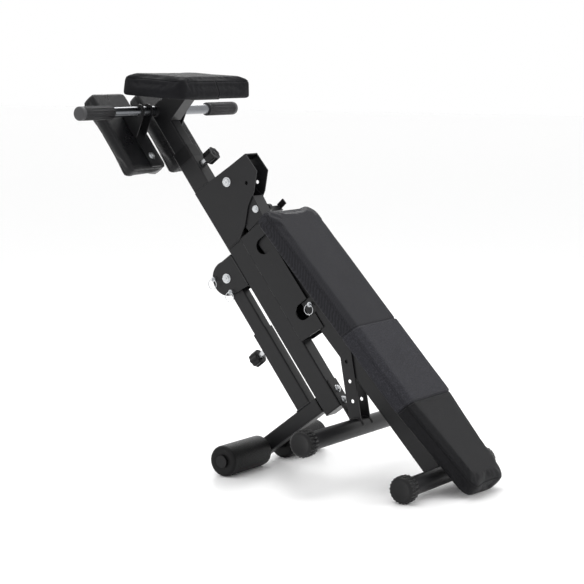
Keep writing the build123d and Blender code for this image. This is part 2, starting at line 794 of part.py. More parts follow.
with BuildPart() as top_pad:
    with BuildSketch(top_plane(-top_pad_thickness / 2)) as outline:
        RectangleRounded(top_pad_length, top_pad_width, soft_round + 4)
    extrude(outline.sketch, amount=top_pad_thickness)
    fillet(top_pad.faces().sort_by(face_axis(top_pad_tilt))[-1].edges(), 12)
    fillet(top_pad.faces().sort_by(face_axis(top_pad_tilt))[0].edges(), 8)
finish(top_pad.part, "top_pad")

# ======== clevis, arm tube and its pivot ========
with BuildPart() as clevis:
    for low in (-link_outer, link_inner):
        with BuildSketch(side_view(post_tilt, low + plate)) as cheek:
            with BuildLine():
                Polyline(
                    (arm_pivot_s - clevis_radius + clevis_inset, arm_n), (clevis_start_s, post_back),
                    (clevis_low_s, post_back), (clevis_low_s - 8, arm_n), close=True,
                )
            make_face()
            with Locations((arm_pivot_s, arm_n)):
                Circle(clevis_radius)
                Circle(bolt_radius + weld_gap, mode=Mode.SUBTRACT)
            for angle in pin_angles:
                with Locations((
                    arm_pivot_s + pin_circle * cos(radians(angle)),
                    arm_n - pin_circle * sin(radians(angle)),
                )):
                    Circle(bolt_radius + running_gap, mode=Mode.SUBTRACT)
        extrude(cheek.sketch, amount=plate)
    with BuildSketch(side_view(post_tilt, link_inner)) as web:
        with BuildLine():
            Polyline(
                (clevis_start_s + clevis_inset, post_back),
                (clevis_start_s + clevis_inset, post_back - plate),
                (clevis_low_s - clevis_inset, post_back - plate),
                (clevis_low_s - clevis_inset, post_back), close=True,
            )
        make_face()
    extrude(web.sketch, amount=2 * link_inner)
finish(clevis.part, "clevis")
make_bolt("arm_bolt", post_tilt, arm_pivot_s, arm_n, bolt_radius, link_outer)

arm_tube_depth = arm_depth - 2 * arm_wall - 2 * slide_gap
arm_tube_width = arm_width - 2 * arm_wall - 2 * slide_gap
with BuildPart() as arm_tube:
    square_tube(
        post_tilt, arm_pivot_s - 20, arm_tube_end_s - arm_pivot_s + 20, arm_n, arm_tube_depth,
        arm_tube_width, arm_wall,
    )
    cross_hole(post_tilt, arm_pivot_s, arm_n, bolt_radius + running_gap, -arm_width, arm_width)
    for step in range(-1, 2):
        place = arm_plunger_s + step * pin_pitch
        face_hole(
            post_tilt, place, 0, arm_n - arm_tube_depth / 2, -1, plunger_radius + slide_gap,
            2 * arm_wall,
        )
finish(arm_tube.part, "arm_tube")

# ======== roller carriage: arm outer tube, foot tube, axle, rollers ========
arm_face = arm_n - arm_depth / 2
with BuildPart() as arm_slider:
    square_tube(
        post_tilt, arm_mouth_s, foot_top_s - arm_mouth_s, arm_n, arm_depth, arm_width, arm_wall
    )
    face_hole(
        post_tilt, arm_plunger_s, 0, arm_face, -1, plunger_radius + running_gap, 2 * arm_wall
    )
finish(arm_slider.part, "arm_slider")

foot_length = foot_inner_n - foot_outer_n
with BuildPart() as foot_tube:
    with BuildSketch(face_plane(post_tilt, foot_outer_n)) as section:
        with Locations((foot_s, 0)):
            RectangleRounded(foot_depth, arm_width, tube_corner)
            RectangleRounded(
                foot_depth - 2 * arm_wall, arm_width - 2 * arm_wall, tube_corner - arm_wall,
                mode=Mode.SUBTRACT,
            )
    extrude(section.sketch, amount=foot_length)
    cross_hole(post_tilt, axle_s, axle_n, axle_radius + weld_gap, -arm_width, arm_width)
finish(foot_tube.part, "foot_tube")

foot_ends = ((foot_inner_n, 1, "foot_plug_inner"), (foot_outer_n, -1, "foot_plug_outer"))
for face, up, plug_name in foot_ends:
    with BuildPart() as plug:
        with BuildSketch(face_plane(post_tilt, face, up)) as flange:
            with Locations((foot_s, 0)):
                RectangleRounded(foot_depth, arm_width, tube_corner)
        extrude(flange.sketch, amount=3)
        with BuildSketch(face_plane(post_tilt, face, up)) as stem:
            with Locations((foot_s, 0)):
                inset = 2 * (arm_wall + slide_gap)
                RectangleRounded(foot_depth - inset, arm_width - inset, 2)
        extrude(stem.sketch, amount=-8)
    finish(plug.part, plug_name)

roller_outer = roller_gap + roller_length
axle_half = roller_outer + 1
with BuildPart() as axle:
    cross_tube(post_tilt, axle_s, axle_n, axle_radius, axle_radius - 2, -axle_half, axle_half)
    for low in (-axle_half - plate, axle_half):
        cross_tube(post_tilt, axle_s, axle_n, axle_radius + 5, 0, low, low + plate)
finish(axle.part, "axle")

for side, roller_name in ((-1, "roller_near"), (1, "roller_far")):
    low = roller_gap if side > 0 else -roller_outer
    with BuildPart() as roller:
        cross_tube(
            post_tilt, axle_s, axle_n, roller_radius, axle_radius + running_gap, low,
            low + roller_length,
        )
        rim = roller.edges().filter_by(GeomType.CIRCLE).sort_by(SortBy.RADIUS)[-2:]
        fillet(rim, 6)
    finish(roller.part, roller_name)

make_barrel("arm_barrel", post_tilt, arm_plunger_s, arm_face, -1)
make_knob("arm_knob", post_tilt, arm_plunger_s, arm_face, -1, arm_wall + slide_gap - 0.4)

# ======== ring pins: a head, a shank and a wire ring on each ========
pin_places = {
    "clevis_pin_lock": (
        post_tilt, arm_pivot_s + pin_circle * cos(radians(pin_angles[0])),
        arm_n - pin_circle * sin(radians(pin_angles[0])), link_outer, link_inner - 2,
    ),
    "clevis_pin_spare": (
        post_tilt, arm_pivot_s + pin_circle * cos(radians(pin_angles[1])),
        arm_n - pin_circle * sin(radians(pin_angles[1])), link_outer, link_inner - 2,
    ),
    "prop_pin": (rail_tilt, prop_top_u, prop_v, link_outer, rail_width / 2 + soft_gap),
}
for pin_name, (tilt, along, across, seat, tip) in pin_places.items():
    x, z = turned(tilt, along, across)
    head_end = -seat - pin_head_length
    ring_y = head_end - lug_reach / 2
    with BuildPart() as ring_pin:
        cross_tube(tilt, along, across, bolt_radius, 0, -seat, -tip)
        cross_tube(tilt, along, across, pin_head_radius, 0, head_end, -seat)
        with BuildSketch(Plane.XY.offset(hinge_z + z - pin_head_radius * 0.7)) as lug:
            with Locations((hinge_x + x, head_end - lug_reach / 2)):
                Rectangle(lug_thickness, lug_reach)
        extrude(lug.sketch, amount=1.4 * pin_head_radius)
        with BuildSketch(Plane.YZ.offset(hinge_x + x - lug_thickness)) as eye:
            with Locations((ring_y, hinge_z + z)):
                Circle(lug_hole)
        extrude(eye.sketch, amount=2 * lug_thickness, mode=Mode.SUBTRACT)
    finish(ring_pin.part, pin_name)
    ring_centre = (hinge_x + x, ring_y, hinge_z + z - ring_radius)
    with BuildPart(Plane(origin=ring_centre, z_dir=(0, -1, 0))) as ring:
        Torus(ring_radius, ring_wire)
    finish(ring.part, pin_name + "_ring")
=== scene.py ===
"""Looks of a folding roman chair: upholstery, foam, hardware, welds and finishes on its frame.

Lengths are in metres. A member is a tilted part of the machine, such as the bench rail or the
post. Its own coordinates are along it (down its slope), Y, and across it, from the hinge bolt.
"""

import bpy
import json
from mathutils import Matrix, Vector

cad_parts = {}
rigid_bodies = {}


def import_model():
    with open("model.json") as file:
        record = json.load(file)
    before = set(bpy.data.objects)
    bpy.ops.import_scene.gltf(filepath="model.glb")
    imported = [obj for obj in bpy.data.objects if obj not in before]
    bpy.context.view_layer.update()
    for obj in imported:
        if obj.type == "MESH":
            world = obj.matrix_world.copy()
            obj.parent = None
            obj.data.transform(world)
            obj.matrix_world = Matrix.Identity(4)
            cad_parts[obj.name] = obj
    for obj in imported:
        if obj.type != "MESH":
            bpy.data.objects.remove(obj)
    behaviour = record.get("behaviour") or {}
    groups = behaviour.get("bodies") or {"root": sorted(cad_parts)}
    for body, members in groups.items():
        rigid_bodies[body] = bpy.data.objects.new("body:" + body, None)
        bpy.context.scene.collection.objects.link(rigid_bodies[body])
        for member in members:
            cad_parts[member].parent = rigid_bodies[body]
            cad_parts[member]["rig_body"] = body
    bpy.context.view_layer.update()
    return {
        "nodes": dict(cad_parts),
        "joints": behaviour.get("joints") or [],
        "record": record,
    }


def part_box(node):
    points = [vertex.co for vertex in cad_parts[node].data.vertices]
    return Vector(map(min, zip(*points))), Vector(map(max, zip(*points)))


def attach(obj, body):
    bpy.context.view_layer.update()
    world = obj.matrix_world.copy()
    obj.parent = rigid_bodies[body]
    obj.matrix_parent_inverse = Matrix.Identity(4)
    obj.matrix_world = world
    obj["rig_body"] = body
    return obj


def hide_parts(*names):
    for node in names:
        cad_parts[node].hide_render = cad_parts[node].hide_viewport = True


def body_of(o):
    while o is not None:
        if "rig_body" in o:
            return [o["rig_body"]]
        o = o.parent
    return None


bl_info = {
    "name": "Folding Roman Chair",
    "version": (1, 0, 0),
    "blender": (4, 5, 0),
    "location": "View3D > Sidebar > Roman Chair",
    "description": "Dresses the packed frame of a folding roman chair",
    "category": "Object",
}

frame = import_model()

import json
from math import atan2, cos, exp, pi, radians, sin

import bmesh
import bpy
from bpy.props import FloatProperty, FloatVectorProperty, IntProperty, PointerProperty
from mathutils import Matrix, Vector
from mathutils.bvhtree import BVHTree
from mathutils.kdtree import KDTree

JOINTS = {joint["name"]: joint for joint in frame["joints"]}
MM = 0.001


# ---------------------------------------------------------------- places

class Member:
    """Coordinates of a tilted member: along it, Y, and across it, from the hinge bolt."""

    def __init__(self, tilt):
        hinge = Vector(JOINTS["frame_fold"]["pos_m"])
        down = Vector((cos(tilt), 0, -sin(tilt)))
        out = Vector((sin(tilt), 0, cos(tilt)))
        turn = Matrix((down, (0, 1, 0), out)).transposed().to_4x4()
        self.tilt = tilt
        self.matrix = Matrix.Translation(hinge) @ turn
        self.inverse = self.matrix.inverted()
        self.down = down
        self.out = out

    def at(self, along, y, across):
        """The world point at these member coordinates."""
        return self.matrix @ Vector((along, y, across))

    def span(self, node):
        """The lowest and highest member coordinates of a CAD node."""
        points = [self.inverse @ v.co for v in frame["nodes"][node].data.vertices]
        low = Vector([min(p[i] for p in points) for i in range(3)])
        high = Vector([max(p[i] for p in points) for i in range(3)])
        return low, high


slide_axis = JOINTS["hip_slide"]["axis"]
POST = Member(atan2(-slide_axis[2], slide_axis[0]))
BENCH = Member(radians(47))
TOP = Member(radians(3.3))


def cross_axis(node):
    """X and Z of the middle of a round CAD node that lies along Y."""
    low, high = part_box(node)
    return (low[0] + high[0]) / 2, (low[2] + high[2]) / 2


def aimed(point, direction):
    """A matrix that puts local Z along a direction, with its origin at a point."""
    turn = Vector(direction).to_track_quat("Z", "Y").to_matrix().to_4x4()
    return Matrix.Translation(point) @ turn


# ---------------------------------------------------------------- meshes

def new_object(name, mesh):
    piece = bpy.data.objects.new(name, mesh)
    bpy.context.scene.collection.objects.link(piece)
    return piece


def mesh_from(name, verts, faces, smooth=True):
    """A named mesh from points and faces, with its normals pointing out."""
    mesh = bpy.data.meshes.new(name)
    mesh.from_pydata([tuple(v) for v in verts], [], faces)
    build = bmesh.new()
    build.from_mesh(mesh)
    bmesh.ops.remove_doubles(build, verts=build.verts, dist=1e-6)
    bmesh.ops.recalc_face_normals(build, faces=build.faces)
    build.to_mesh(mesh)
    build.free()
    if smooth:
        mesh.shade_smooth()
    return mesh


def ring_stack(rows):
    """Points and faces of a closed shape made of rings, capped at both ends."""
    count = len(rows[0])
    verts = [point for row in rows for point in row]
    faces = []
    for r in range(len(rows) - 1):
        for i in range(count):
            j = (i + 1) % count
            a = r * count
            faces.append((a + i, a + j, a + count + j, a + count + i))
    faces.append(tuple(reversed(range(count))))
    faces.append(tuple(range(len(verts) - count, len(verts))))
    return verts, faces


def turned_shape(profile, place, segments=48, shape=None):
    """A lathe shape from (radius, height) pairs; shape(angle, height) scales the radius."""
    rows = []
    for radius, height in profile:
        row = []
        for i in range(segments):
            angle = 2 * pi * i / segments
            r = radius * (shape(angle, height) if shape else 1)
            row.append(place @ Vector((r * cos(angle), r * sin(angle), height)))
        rows.append(row)
    return ring_stack(rows)


def rounded_profile(radius, low, high, round_low, round_high, steps=5):
    """(radius, height) pairs of a cylinder with rounded ends that reach the axis."""
    points = [(radius * 0.02, low), (radius - round_low, low)]
    for i in range(1, steps + 1):
        a = pi / 2 * i / steps
        points.append((radius - round_low * (1 - sin(a)), low + round_low * (1 - cos(a))))
    for i in range(steps + 1):
        a = pi / 2 * i / steps
        points.append((radius - round_high * (1 - cos(a)), high - round_high * (1 - sin(a))))
    points.append((radius * 0.02, high))
    return points


def joined(name, shapes, smooth=True):
    """One mesh from several (verts, faces) shapes."""
    verts, faces = [], []
    for shape_verts, shape_faces in shapes:
        start = len(verts)
        verts += shape_verts
        faces += [tuple(start + i for i in face) for face in shape_faces]
    return mesh_from(name, verts, faces, smooth)


def tube_along(points, radius, sides=8, closed=False):
    """Points and faces of a round tube that follows a line of points."""
    rows = []
    count = len(points)
    for i, point in enumerate(points):
        after = points[(i + 1) % count] if closed or i + 1 < count else point
        before = points[i - 1] if closed or i > 0 else point
        place = aimed(point, after - before)
        if i == 0:
            turn = place.to_3x3()
        else:
            tangent = (after - before).normalized()
            turn = turn.col[2].rotation_difference(tangent).to_matrix() @ turn
        ring = [2 * pi * k / sides for k in range(sides)]
        rows.append([point + turn @ Vector((radius * cos(a), radius * sin(a), 0)) for a in ring])
    verts, faces = ring_stack(rows)
    if closed:
        faces = faces[:-2]
        last = (count - 1) * sides
        best = min(range(sides), key=lambda k: (verts[last] - verts[k]).length)
        for k in range(sides):
            n = (k + 1) % sides
            faces.append((last + k, last + n, (best + n) % sides, (best + k) % sides))
    return verts, faces


def wear(piece, material, body):
    """Give a new piece its material and its body."""
    piece.data.materials.clear()
    piece.data.materials.append(material)
    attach(piece, body)
    return piece


# ---------------------------------------------------------------- shader expressions

class Wire:
    """An output of a shader node. Arithmetic on it adds Math nodes."""

    def __init__(self, paint, socket):
        self.paint = paint
        self.socket = socket

    def math(self, operation, *values):
        return self.paint.add("ShaderNodeMath", {"operation": operation}, *values)

    def __add__(self, other):
        return self.math("ADD", self, other)

    def __sub__(self, other):
        return self.math("SUBTRACT", self, other)

    def __rsub__(self, other):
        return self.math("SUBTRACT", other, self)

    def __mul__(self, other):
        return self.math("MULTIPLY", self, other)

    __radd__ = __add__
    __rmul__ = __mul__

    def sine(self):
        return self.math("SINE", self)

    def over(self, edge, width=0.0):
        """A mask that rises from 0 to 1 about an edge, over a width."""
        if not width:
            return self.math("GREATER_THAN", self, edge)
        return self.paint.add(
            "ShaderNodeMapRange", {"interpolation_type": "SMOOTHSTEP"}, self,
            edge - width / 2, edge + width / 2, 0.0, 1.0,
        )


class Paint:
    """A material under construction."""

    def __init__(self, name):
        self.material = bpy.data.materials.new(name)
        self.material.use_nodes = True
        self.tree = self.material.node_tree
        self.shader = self.tree.nodes["Principled BSDF"]

    def add(self, kind, settings, *values, output=0, **named):
        """Add a node with its settings, then its inputs by position or by name."""
        node = self.tree.nodes.new(kind)
        for key, value in settings.items():
            setattr(node, key, value)
        sockets = [(node.inputs[i], value) for i, value in enumerate(values)]
        sockets += [(node.inputs[key.replace("_", " ")], value) for key, value in named.items()]
        for socket, value in sockets:
            self.feed(socket, value)
        return Wire(self, node.outputs[output])

    def feed(self, socket, value):
        """Set a socket, or link it if the value is a wire."""
        if isinstance(value, Wire):
            self.tree.links.new(value.socket, socket)
        elif value is not None:
            if socket.type == "RGBA" and len(value) == 3:
                value = (*value, 1)
            socket.default_value = value

    def set(self, **named):
        """Feed the shader's own sockets."""
        for key, value in named.items():
            self.feed(self.shader.inputs[key.replace("_", " ")], value)
        return self.material

    def place(self):
        return self.add("ShaderNodeTexCoord", {}, output=3)

    def member_place(self, member):
        """Three wires: along the member, Y, and across it."""
        hinge = member.matrix.translation
        moved = self.add(
            "ShaderNodeVectorMath", {"operation": "SUBTRACT"}, self.place(), tuple(hinge)
        )
        axes = (member.down, Vector((0, 1, 0)), member.out)
        dot = {"operation": "DOT_PRODUCT"}
        return [self.add("ShaderNodeVectorMath", dot, moved, tuple(a), output=1) for a in axes]

    def noise(self, scale, detail=2.0, roughness=0.5, place=None):
        place = place or self.place()
        return self.add(
            "ShaderNodeTexNoise", {}, Vector=place, Scale=scale, Detail=detail,
            Roughness=roughness,
        )

    def cells(self, scale, feature="DISTANCE_TO_EDGE"):
        return self.add(
            "ShaderNodeTexVoronoi", {"feature": feature}, Vector=self.place(), Scale=scale
        )

    def blend(self, factor, low, high):
        """A colour between two colours."""
        node = self.tree.nodes.new("ShaderNodeMix")
        node.data_type = "RGBA"
        colours = [socket for socket in node.inputs if socket.type == "RGBA"]
        self.feed(node.inputs[0], factor)
        self.feed(colours[0], low)
        self.feed(colours[1], high)
        return Wire(self, next(s for s in node.outputs if s.type == "RGBA"))

    def bump(self, height, distance, strength=1.0, under=None):
        return self.add(
            "ShaderNodeBump", {}, Strength=strength, Distance=distance, Height=height,
            Normal=under,
        )


# ---------------------------------------------------------------- finishes

def shade_of(colour, share):
    """A colour made darker or lighter by a share."""
    return tuple(channel * share for channel in colour)


def powder_coat(look):
    """Satin powder coat: fine orange peel, faint cloudiness and a few hairline scuffs."""
    paint = Paint("powder_coat")
    peel = paint.noise(1100, 2)
    cloud = paint.noise(9, 3)
    streak = paint.noise(60, 4, 0.6).over(0.69, 0.03)
    base = paint.blend(cloud, shade_of(look.frame_colour, 0.8), shade_of(look.frame_colour, 1.25))
    scuffed = paint.blend(streak * 0.35, base, shade_of(look.frame_colour, 4))
    rough = cloud * 0.10 + peel * 0.08 + (look.frame_roughness - 0.09) + streak * 0.12
    return paint.set(
        Base_Color=scuffed, Roughness=rough, Normal=paint.bump(peel, 0.00025, 0.35),
        Specular_IOR_Level=0.36,
    )


def moulded_plastic(look):
    """Black moulded plastic with a fine spark-eroded texture."""
    paint = Paint("moulded_plastic")
    grain = paint.noise(2400, 3, 0.7)
    cloud = paint.noise(22, 2)
    base = paint.blend(
        cloud, shade_of(look.plastic_colour, 0.75), shade_of(look.plastic_colour, 1.3)
    )
    return paint.set(
        Base_Color=base, Roughness=cloud * 0.12 + grain * 0.12 + 0.24,
        Normal=paint.bump(grain, 0.0002, 0.25), Specular_IOR_Level=0.28,
    )


def zinc_plate():
    """Bright zinc plating with soft blotches and fine drawing lines."""
    paint = Paint("zinc_plate")
    blotch = paint.noise(180, 3)
    fine = paint.noise(1500, 2)
    base = paint.blend(blotch, (0.46, 0.48, 0.50), (0.86, 0.87, 0.88))
    return paint.set(
        Base_Color=base, Metallic=1.0, Roughness=blotch * 0.18 + fine * 0.08 + 0.16,
        Normal=paint.bump(fine, 0.0001, 0.2),
    )


def drawn_steel():
    """Satin steel of the handlebar, with fine rings from polishing round the tube."""
    paint = Paint("drawn_steel")
    sideways = paint.member_place(POST)[1]
    rings = paint.add(
        "ShaderNodeTexNoise", {"noise_dimensions": "1D"}, W=sideways, Scale=1800.0, Detail=2.0
    )
    cloud = paint.noise(14, 3)
    base = paint.blend(cloud, (0.15, 0.155, 0.165), (0.25, 0.26, 0.275))
    return paint.set(
        Base_Color=base, Metallic=1.0, Roughness=rings * 0.10 + cloud * 0.08 + 0.20,
        Normal=paint.bump(rings, 0.0001, 0.15),
    )


def foam_skin(name, colour, roughness, shine):
    """Closed-cell foam: a matt skin with pores and a soft mottle."""
    paint = Paint(name)
    pores = paint.cells(900).over(0.12, 0.10)
    mottle = paint.noise(30, 4)
    base = paint.blend(mottle, shade_of(colour, 0.7), shade_of(colour, 1.4))
    height = pores + paint.noise(500, 2) * 0.6
    return paint.set(
        Base_Color=base, Roughness=mottle * 0.12 + (roughness - 0.06),
        Normal=paint.bump(height, 0.0003, 0.35), Specular_IOR_Level=shine,
    )


def leather_height(paint, size):
    """Height of leather grain: cells with creased edges, and pores between them."""
    cells = paint.cells(1 / size)
    crease = 1 - cells.over(0.10, 0.20)
    pores = paint.noise(2.2 / size, 2)
    return 1 - crease * 0.75 + pores * 0.35


def plain_leather(name, colour, roughness, grain, folds, shine):
    """Grained leatherette with soft mottling; folds adds creases on its standing sides."""
    paint = Paint(name)
    height = leather_height(paint, grain)
    mottle = paint.noise(11, 4)
    fold = paint.noise(26, 3, 0.55) * folds
    base = paint.blend(mottle, shade_of(colour, 0.75), shade_of(colour, 1.3))
    worn = paint.noise(420, 2).over(0.62, 0.1)
    soft = paint.bump(fold, 0.004, 0.5)
    return paint.set(
        Base_Color=paint.blend(worn * 0.12, base, shade_of(colour, 2.2)),
        Roughness=mottle * 0.14 + worn * 0.06 + (roughness - 0.08),
        Normal=paint.bump(height, 0.0005, 0.55, soft),
        Specular_IOR_Level=shine,
    )


def bench_leather(look, upper_seam, lower_seam):
    """The bench cover: a fine diagonal weave above, coarse grain in the middle, smooth below."""
    paint = Paint("bench_leather")
    along, across, _ = paint.member_place(BENCH)
    below_upper = along.over(upper_seam, 0.001)
    below_lower = along.over(lower_seam, 0.001)
    middle = below_upper - below_lower
    upper = 1 - below_upper
    turns = 2 * pi / look.weave_pitch
    rib = ((along + across * 0.6) * turns).sine()
    weft = ((along * 0.6 - across) * turns).sine()
    weave = rib * weft * 0.5 + 0.5
    coarse = leather_height(paint, look.grain_size * 2.1)
    fine = leather_height(paint, look.grain_size * 0.8)
    mottle = paint.noise(8, 4)
    speckle = paint.noise(330, 3, 0.6)
    tone = look.leather_colour
    warm = paint.blend(upper * weave, shade_of(tone, 0.3), shade_of(tone, 3.2))
    dark = paint.blend(below_lower, warm, shade_of(tone, 0.35))
    light = paint.blend(middle, dark, shade_of(tone, 2.6))
    patchy = paint.blend(mottle * 0.5, light, shade_of(tone, 0.9))
    grit = speckle.over(0.56, 0.12) * (middle * 0.5 + 0.12)
    dusty = paint.blend(grit, patchy, shade_of(tone, 5.5))
    height = upper * weave * 0.8 + middle * coarse * 1.1 + below_lower * fine * 0.6
    rough = middle * 0.10 + upper * 0.05 + mottle * 0.08 + speckle * 0.06 + 0.40
    return paint.set(
        Base_Color=dusty, Roughness=rough, Normal=paint.bump(height, 0.0010, 0.8),
        Specular_IOR_Level=0.16,
    )


def sewing_thread(name, colour):
    """Twisted polyester thread."""
    paint = Paint(name)
    twist = paint.noise(1600, 2)
    base = paint.blend(twist, shade_of(colour, 0.7), shade_of(colour, 1.4))
    return paint.set(Base_Color=base, Roughness=twist * 0.2 + 0.45)


def dust_cloth():
    """Black felted cloth under a pad."""
    paint = Paint("dust_cloth")
    fibre = paint.noise(1300, 4, 0.7)
    wide = paint.noise(35, 3)
    base = paint.blend(fibre, (0.006, 0.006, 0.007), (0.028, 0.028, 0.030))
    return paint.set(
        Base_Color=base, Roughness=wide * 0.1 + 0.85, Normal=paint.bump(fibre, 0.0004, 0.6)
    )


def weld_metal(look):
    """A painted weld bead, glossier than the tube where the paint has pooled."""
    paint = Paint("painted_weld")
    ripple = paint.noise(500, 2)
    base = paint.blend(ripple, shade_of(look.frame_colour, 0.7), shade_of(look.frame_colour, 1.5))
    return paint.set(Base_Color=base, Roughness=ripple * 0.15 + 0.28)


def studio_floor(look):
    """White acrylic floor with a soft reflection."""
    paint = Paint("studio_floor")
    return paint.set(
        Base_Color=(*look.floor_colour, 1), Roughness=0.35, Specular_IOR_Level=0.3,
    )


# ---------------------------------------------------------------- geometry node trees

class Growth:
    """A Geometry Nodes tree under construction, with named inputs."""

    def __init__(self, name, inputs):
        self.tree = bpy.data.node_groups.new(name, "GeometryNodeTree")
        sides = self.tree.interface
        sides.new_socket("Geometry", in_out="INPUT", socket_type="NodeSocketGeometry")
        self.ids = {}
        for label, kind in inputs.items():
            socket = sides.new_socket(label, in_out="INPUT", socket_type="NodeSocket" + kind)
            self.ids[label] = socket.identifier
        sides.new_socket("Geometry", in_out="OUTPUT", socket_type="NodeSocketGeometry")
        self.entry = self.tree.nodes.new("NodeGroupInput")
        self.exit = self.tree.nodes.new("NodeGroupOutput")

    def given(self, label):
        return self.entry.outputs[label]

    def add(self, kind, settings=None, output=0, **sockets):
        """Add a node and feed its sockets by name; returns one of its outputs."""
        node = self.tree.nodes.new(kind)
        for key, value in (settings or {}).items():
            setattr(node, key, value)
        for key, value in sockets.items():
            socket = next(
                s for s in node.inputs if s.name == key.replace("_", " ") and s.enabled
            )
            if isinstance(value, bpy.types.NodeSocket):
                self.tree.links.new(value, socket)
            else:
                socket.default_value = value
        return node.outputs[output]

    def maths(self, operation, first, second):
        """A Math node on two sockets or numbers."""
        node = self.tree.nodes.new("ShaderNodeMath")
        node.operation = operation
        for socket, value in zip(node.inputs, (first, second)):
            if isinstance(value, bpy.types.NodeSocket):
                self.tree.links.new(value, socket)
            else:
                socket.default_value = value
        return node.outputs[0]

    def joined(self, *parts):
        node = self.tree.nodes.new("GeometryNodeJoinGeometry")
        for part in parts:
            self.tree.links.new(part, node.inputs[0])
        return node.outputs[0]

    def close(self, instances, smooth):
        """Make the instances real, set their shading and material, and end the tree."""
        real = self.add("GeometryNodeRealizeInstances", Geometry=instances)
        if smooth:
            real = self.add("GeometryNodeSetShadeSmooth", Geometry=real)
        painted = self.add(
            "GeometryNodeSetMaterial", Geometry=real, Material=self.given("Material")
        )
        self.tree.links.new(painted, self.exit.inputs[0])
        return self


def bead_tree():
    """Small rounded beads along a line of edges: stitches, weld ripples or staples."""
    growth = Growth("beads_along_line", {
        "Spacing": "Float", "Width": "Float", "Length": "Float", "Variation": "Float",
        "Seed": "Int", "Material": "Material",
    })
    curve = growth.add("GeometryNodeMeshToCurve", Mesh=growth.given("Geometry"))
    spots = growth.add(
        "GeometryNodeCurveToPoints", {"mode": "LENGTH"}, Curve=curve,
        Length=growth.given("Spacing"),
    )
    tangent = spots.node.outputs["Tangent"]
    turn = growth.add("FunctionNodeAlignRotationToVector", {"axis": "Z"}, Vector=tangent)
    bead = growth.add("GeometryNodeMeshIcoSphere", Radius=0.5, Subdivisions=2)
    wobble = growth.add(
        "FunctionNodeRandomValue", {"data_type": "FLOAT"}, output=1,
        Min=growth.maths("SUBTRACT", 1.0, growth.given("Variation")),
        Max=growth.maths("ADD", 1.0, growth.given("Variation")), Seed=growth.given("Seed"),
    )
    width = growth.maths("MULTIPLY", growth.given("Width"), wobble)
    size = growth.add("ShaderNodeCombineXYZ", X=width, Y=width, Z=growth.given("Length"))
    beads = growth.add(
        "GeometryNodeInstanceOnPoints", Points=spots, Instance=bead, Rotation=turn, Scale=size
    )
    return growth.close(beads, smooth=True)


def rib_tree():
    """A ring of round ribs about each point, along its facing direction."""
    growth = Growth("ring_of_ribs", {
        "Ribs": "Int", "Ring_Radius": "Float", "Rib_Radius": "Float", "Rib_Length": "Float",
        "Material": "Material",
    })
    circle = growth.add(
        "GeometryNodeMeshCircle", Vertices=growth.given("Ribs"),
        Radius=growth.given("Ring_Radius"),
    )
    rib = growth.add(
        "GeometryNodeMeshCylinder", Vertices=10, Side_Segments=1,
        Radius=growth.given("Rib_Radius"), Depth=growth.given("Rib_Length"),
    )
    tips = [
        growth.add(
            "GeometryNodeTransform",
            Geometry=growth.add(
                "GeometryNodeMeshUVSphere", Segments=10, Rings=6,
                Radius=growth.given("Rib_Radius"),
            ),
            Translation=growth.add(
                "ShaderNodeCombineXYZ", Z=growth.maths("MULTIPLY", growth.given("Rib_Length"), end)
            ),
        )
        for end in (-0.5, 0.5)
    ]
    ring = growth.add(
        "GeometryNodeInstanceOnPoints", Points=circle, Instance=growth.joined(rib, *tips)
    )
    return growth.close(facing_instances(growth, ring), smooth=True)


def facing_instances(growth, shape, size=None):
    """Put a shape on each point of the input, its Z along the point's facing direction."""
    facing = growth.add(
        "GeometryNodeInputNamedAttribute", {"data_type": "FLOAT_VECTOR"}, Name="facing"
    )
    turn = growth.add("FunctionNodeAlignRotationToVector", {"axis": "Z"}, Vector=facing)
    sockets = {"Points": growth.given("Geometry"), "Instance": shape, "Rotation": turn}
    if size:
        sockets["Scale"] = size
    return growth.add("GeometryNodeInstanceOnPoints", **sockets)


def fastener_tree():
    """A washer, a chamfered hexagon, a collar ring and a bolt end on each point."""
    growth = Growth("fasteners_on_points", {
        "Washer_Radius": "Float", "Washer_Height": "Float", "Head_Radius": "Float",
        "Head_Height": "Float", "Material": "Material",
    })
    washer_radius = growth.given("Washer_Radius")
    washer_height = growth.given("Washer_Height")
    head_radius = growth.given("Head_Radius")
    head_height = growth.given("Head_Height")

    def disc(sides, low_share, high_share, radius, start, height):
        cone = growth.add(
            "GeometryNodeMeshCone", Vertices=sides,
            Radius_Bottom=growth.maths("MULTIPLY", radius, low_share),
            Radius_Top=growth.maths("MULTIPLY", radius, high_share), Depth=height,
        )
        move = growth.add("ShaderNodeCombineXYZ", Z=start)
        return growth.add("GeometryNodeTransform", Geometry=cone, Translation=move)

    lip = growth.maths("MULTIPLY", washer_height, 0.7)
    bevel = growth.maths("MULTIPLY", washer_height, 0.3)
    body = growth.maths("MULTIPLY", head_height, 0.72)
    crown = growth.maths("MULTIPLY", head_height, 0.14)
    top = growth.maths("ADD", washer_height, body)
    end = growth.maths("MULTIPLY", head_height, 0.45)
    shape = growth.joined(
        disc(32, 1.0, 1.0, washer_radius, 0.0, lip),
        disc(32, 1.0, 0.95, washer_radius, lip, bevel),
        disc(6, 1.0, 1.0, head_radius, washer_height, body),
        disc(24, 0.90, 0.80, head_radius, top, crown),
        disc(20, 0.60, 0.50, head_radius, top, growth.maths("MULTIPLY", head_height, 0.28)),
        disc(16, 0.42, 0.36, head_radius, top, end),
    )
    size = growth.add("GeometryNodeInputNamedAttribute", {"data_type": "FLOAT"}, Name="size")
    return growth.close(facing_instances(growth, shape, size), smooth=False)


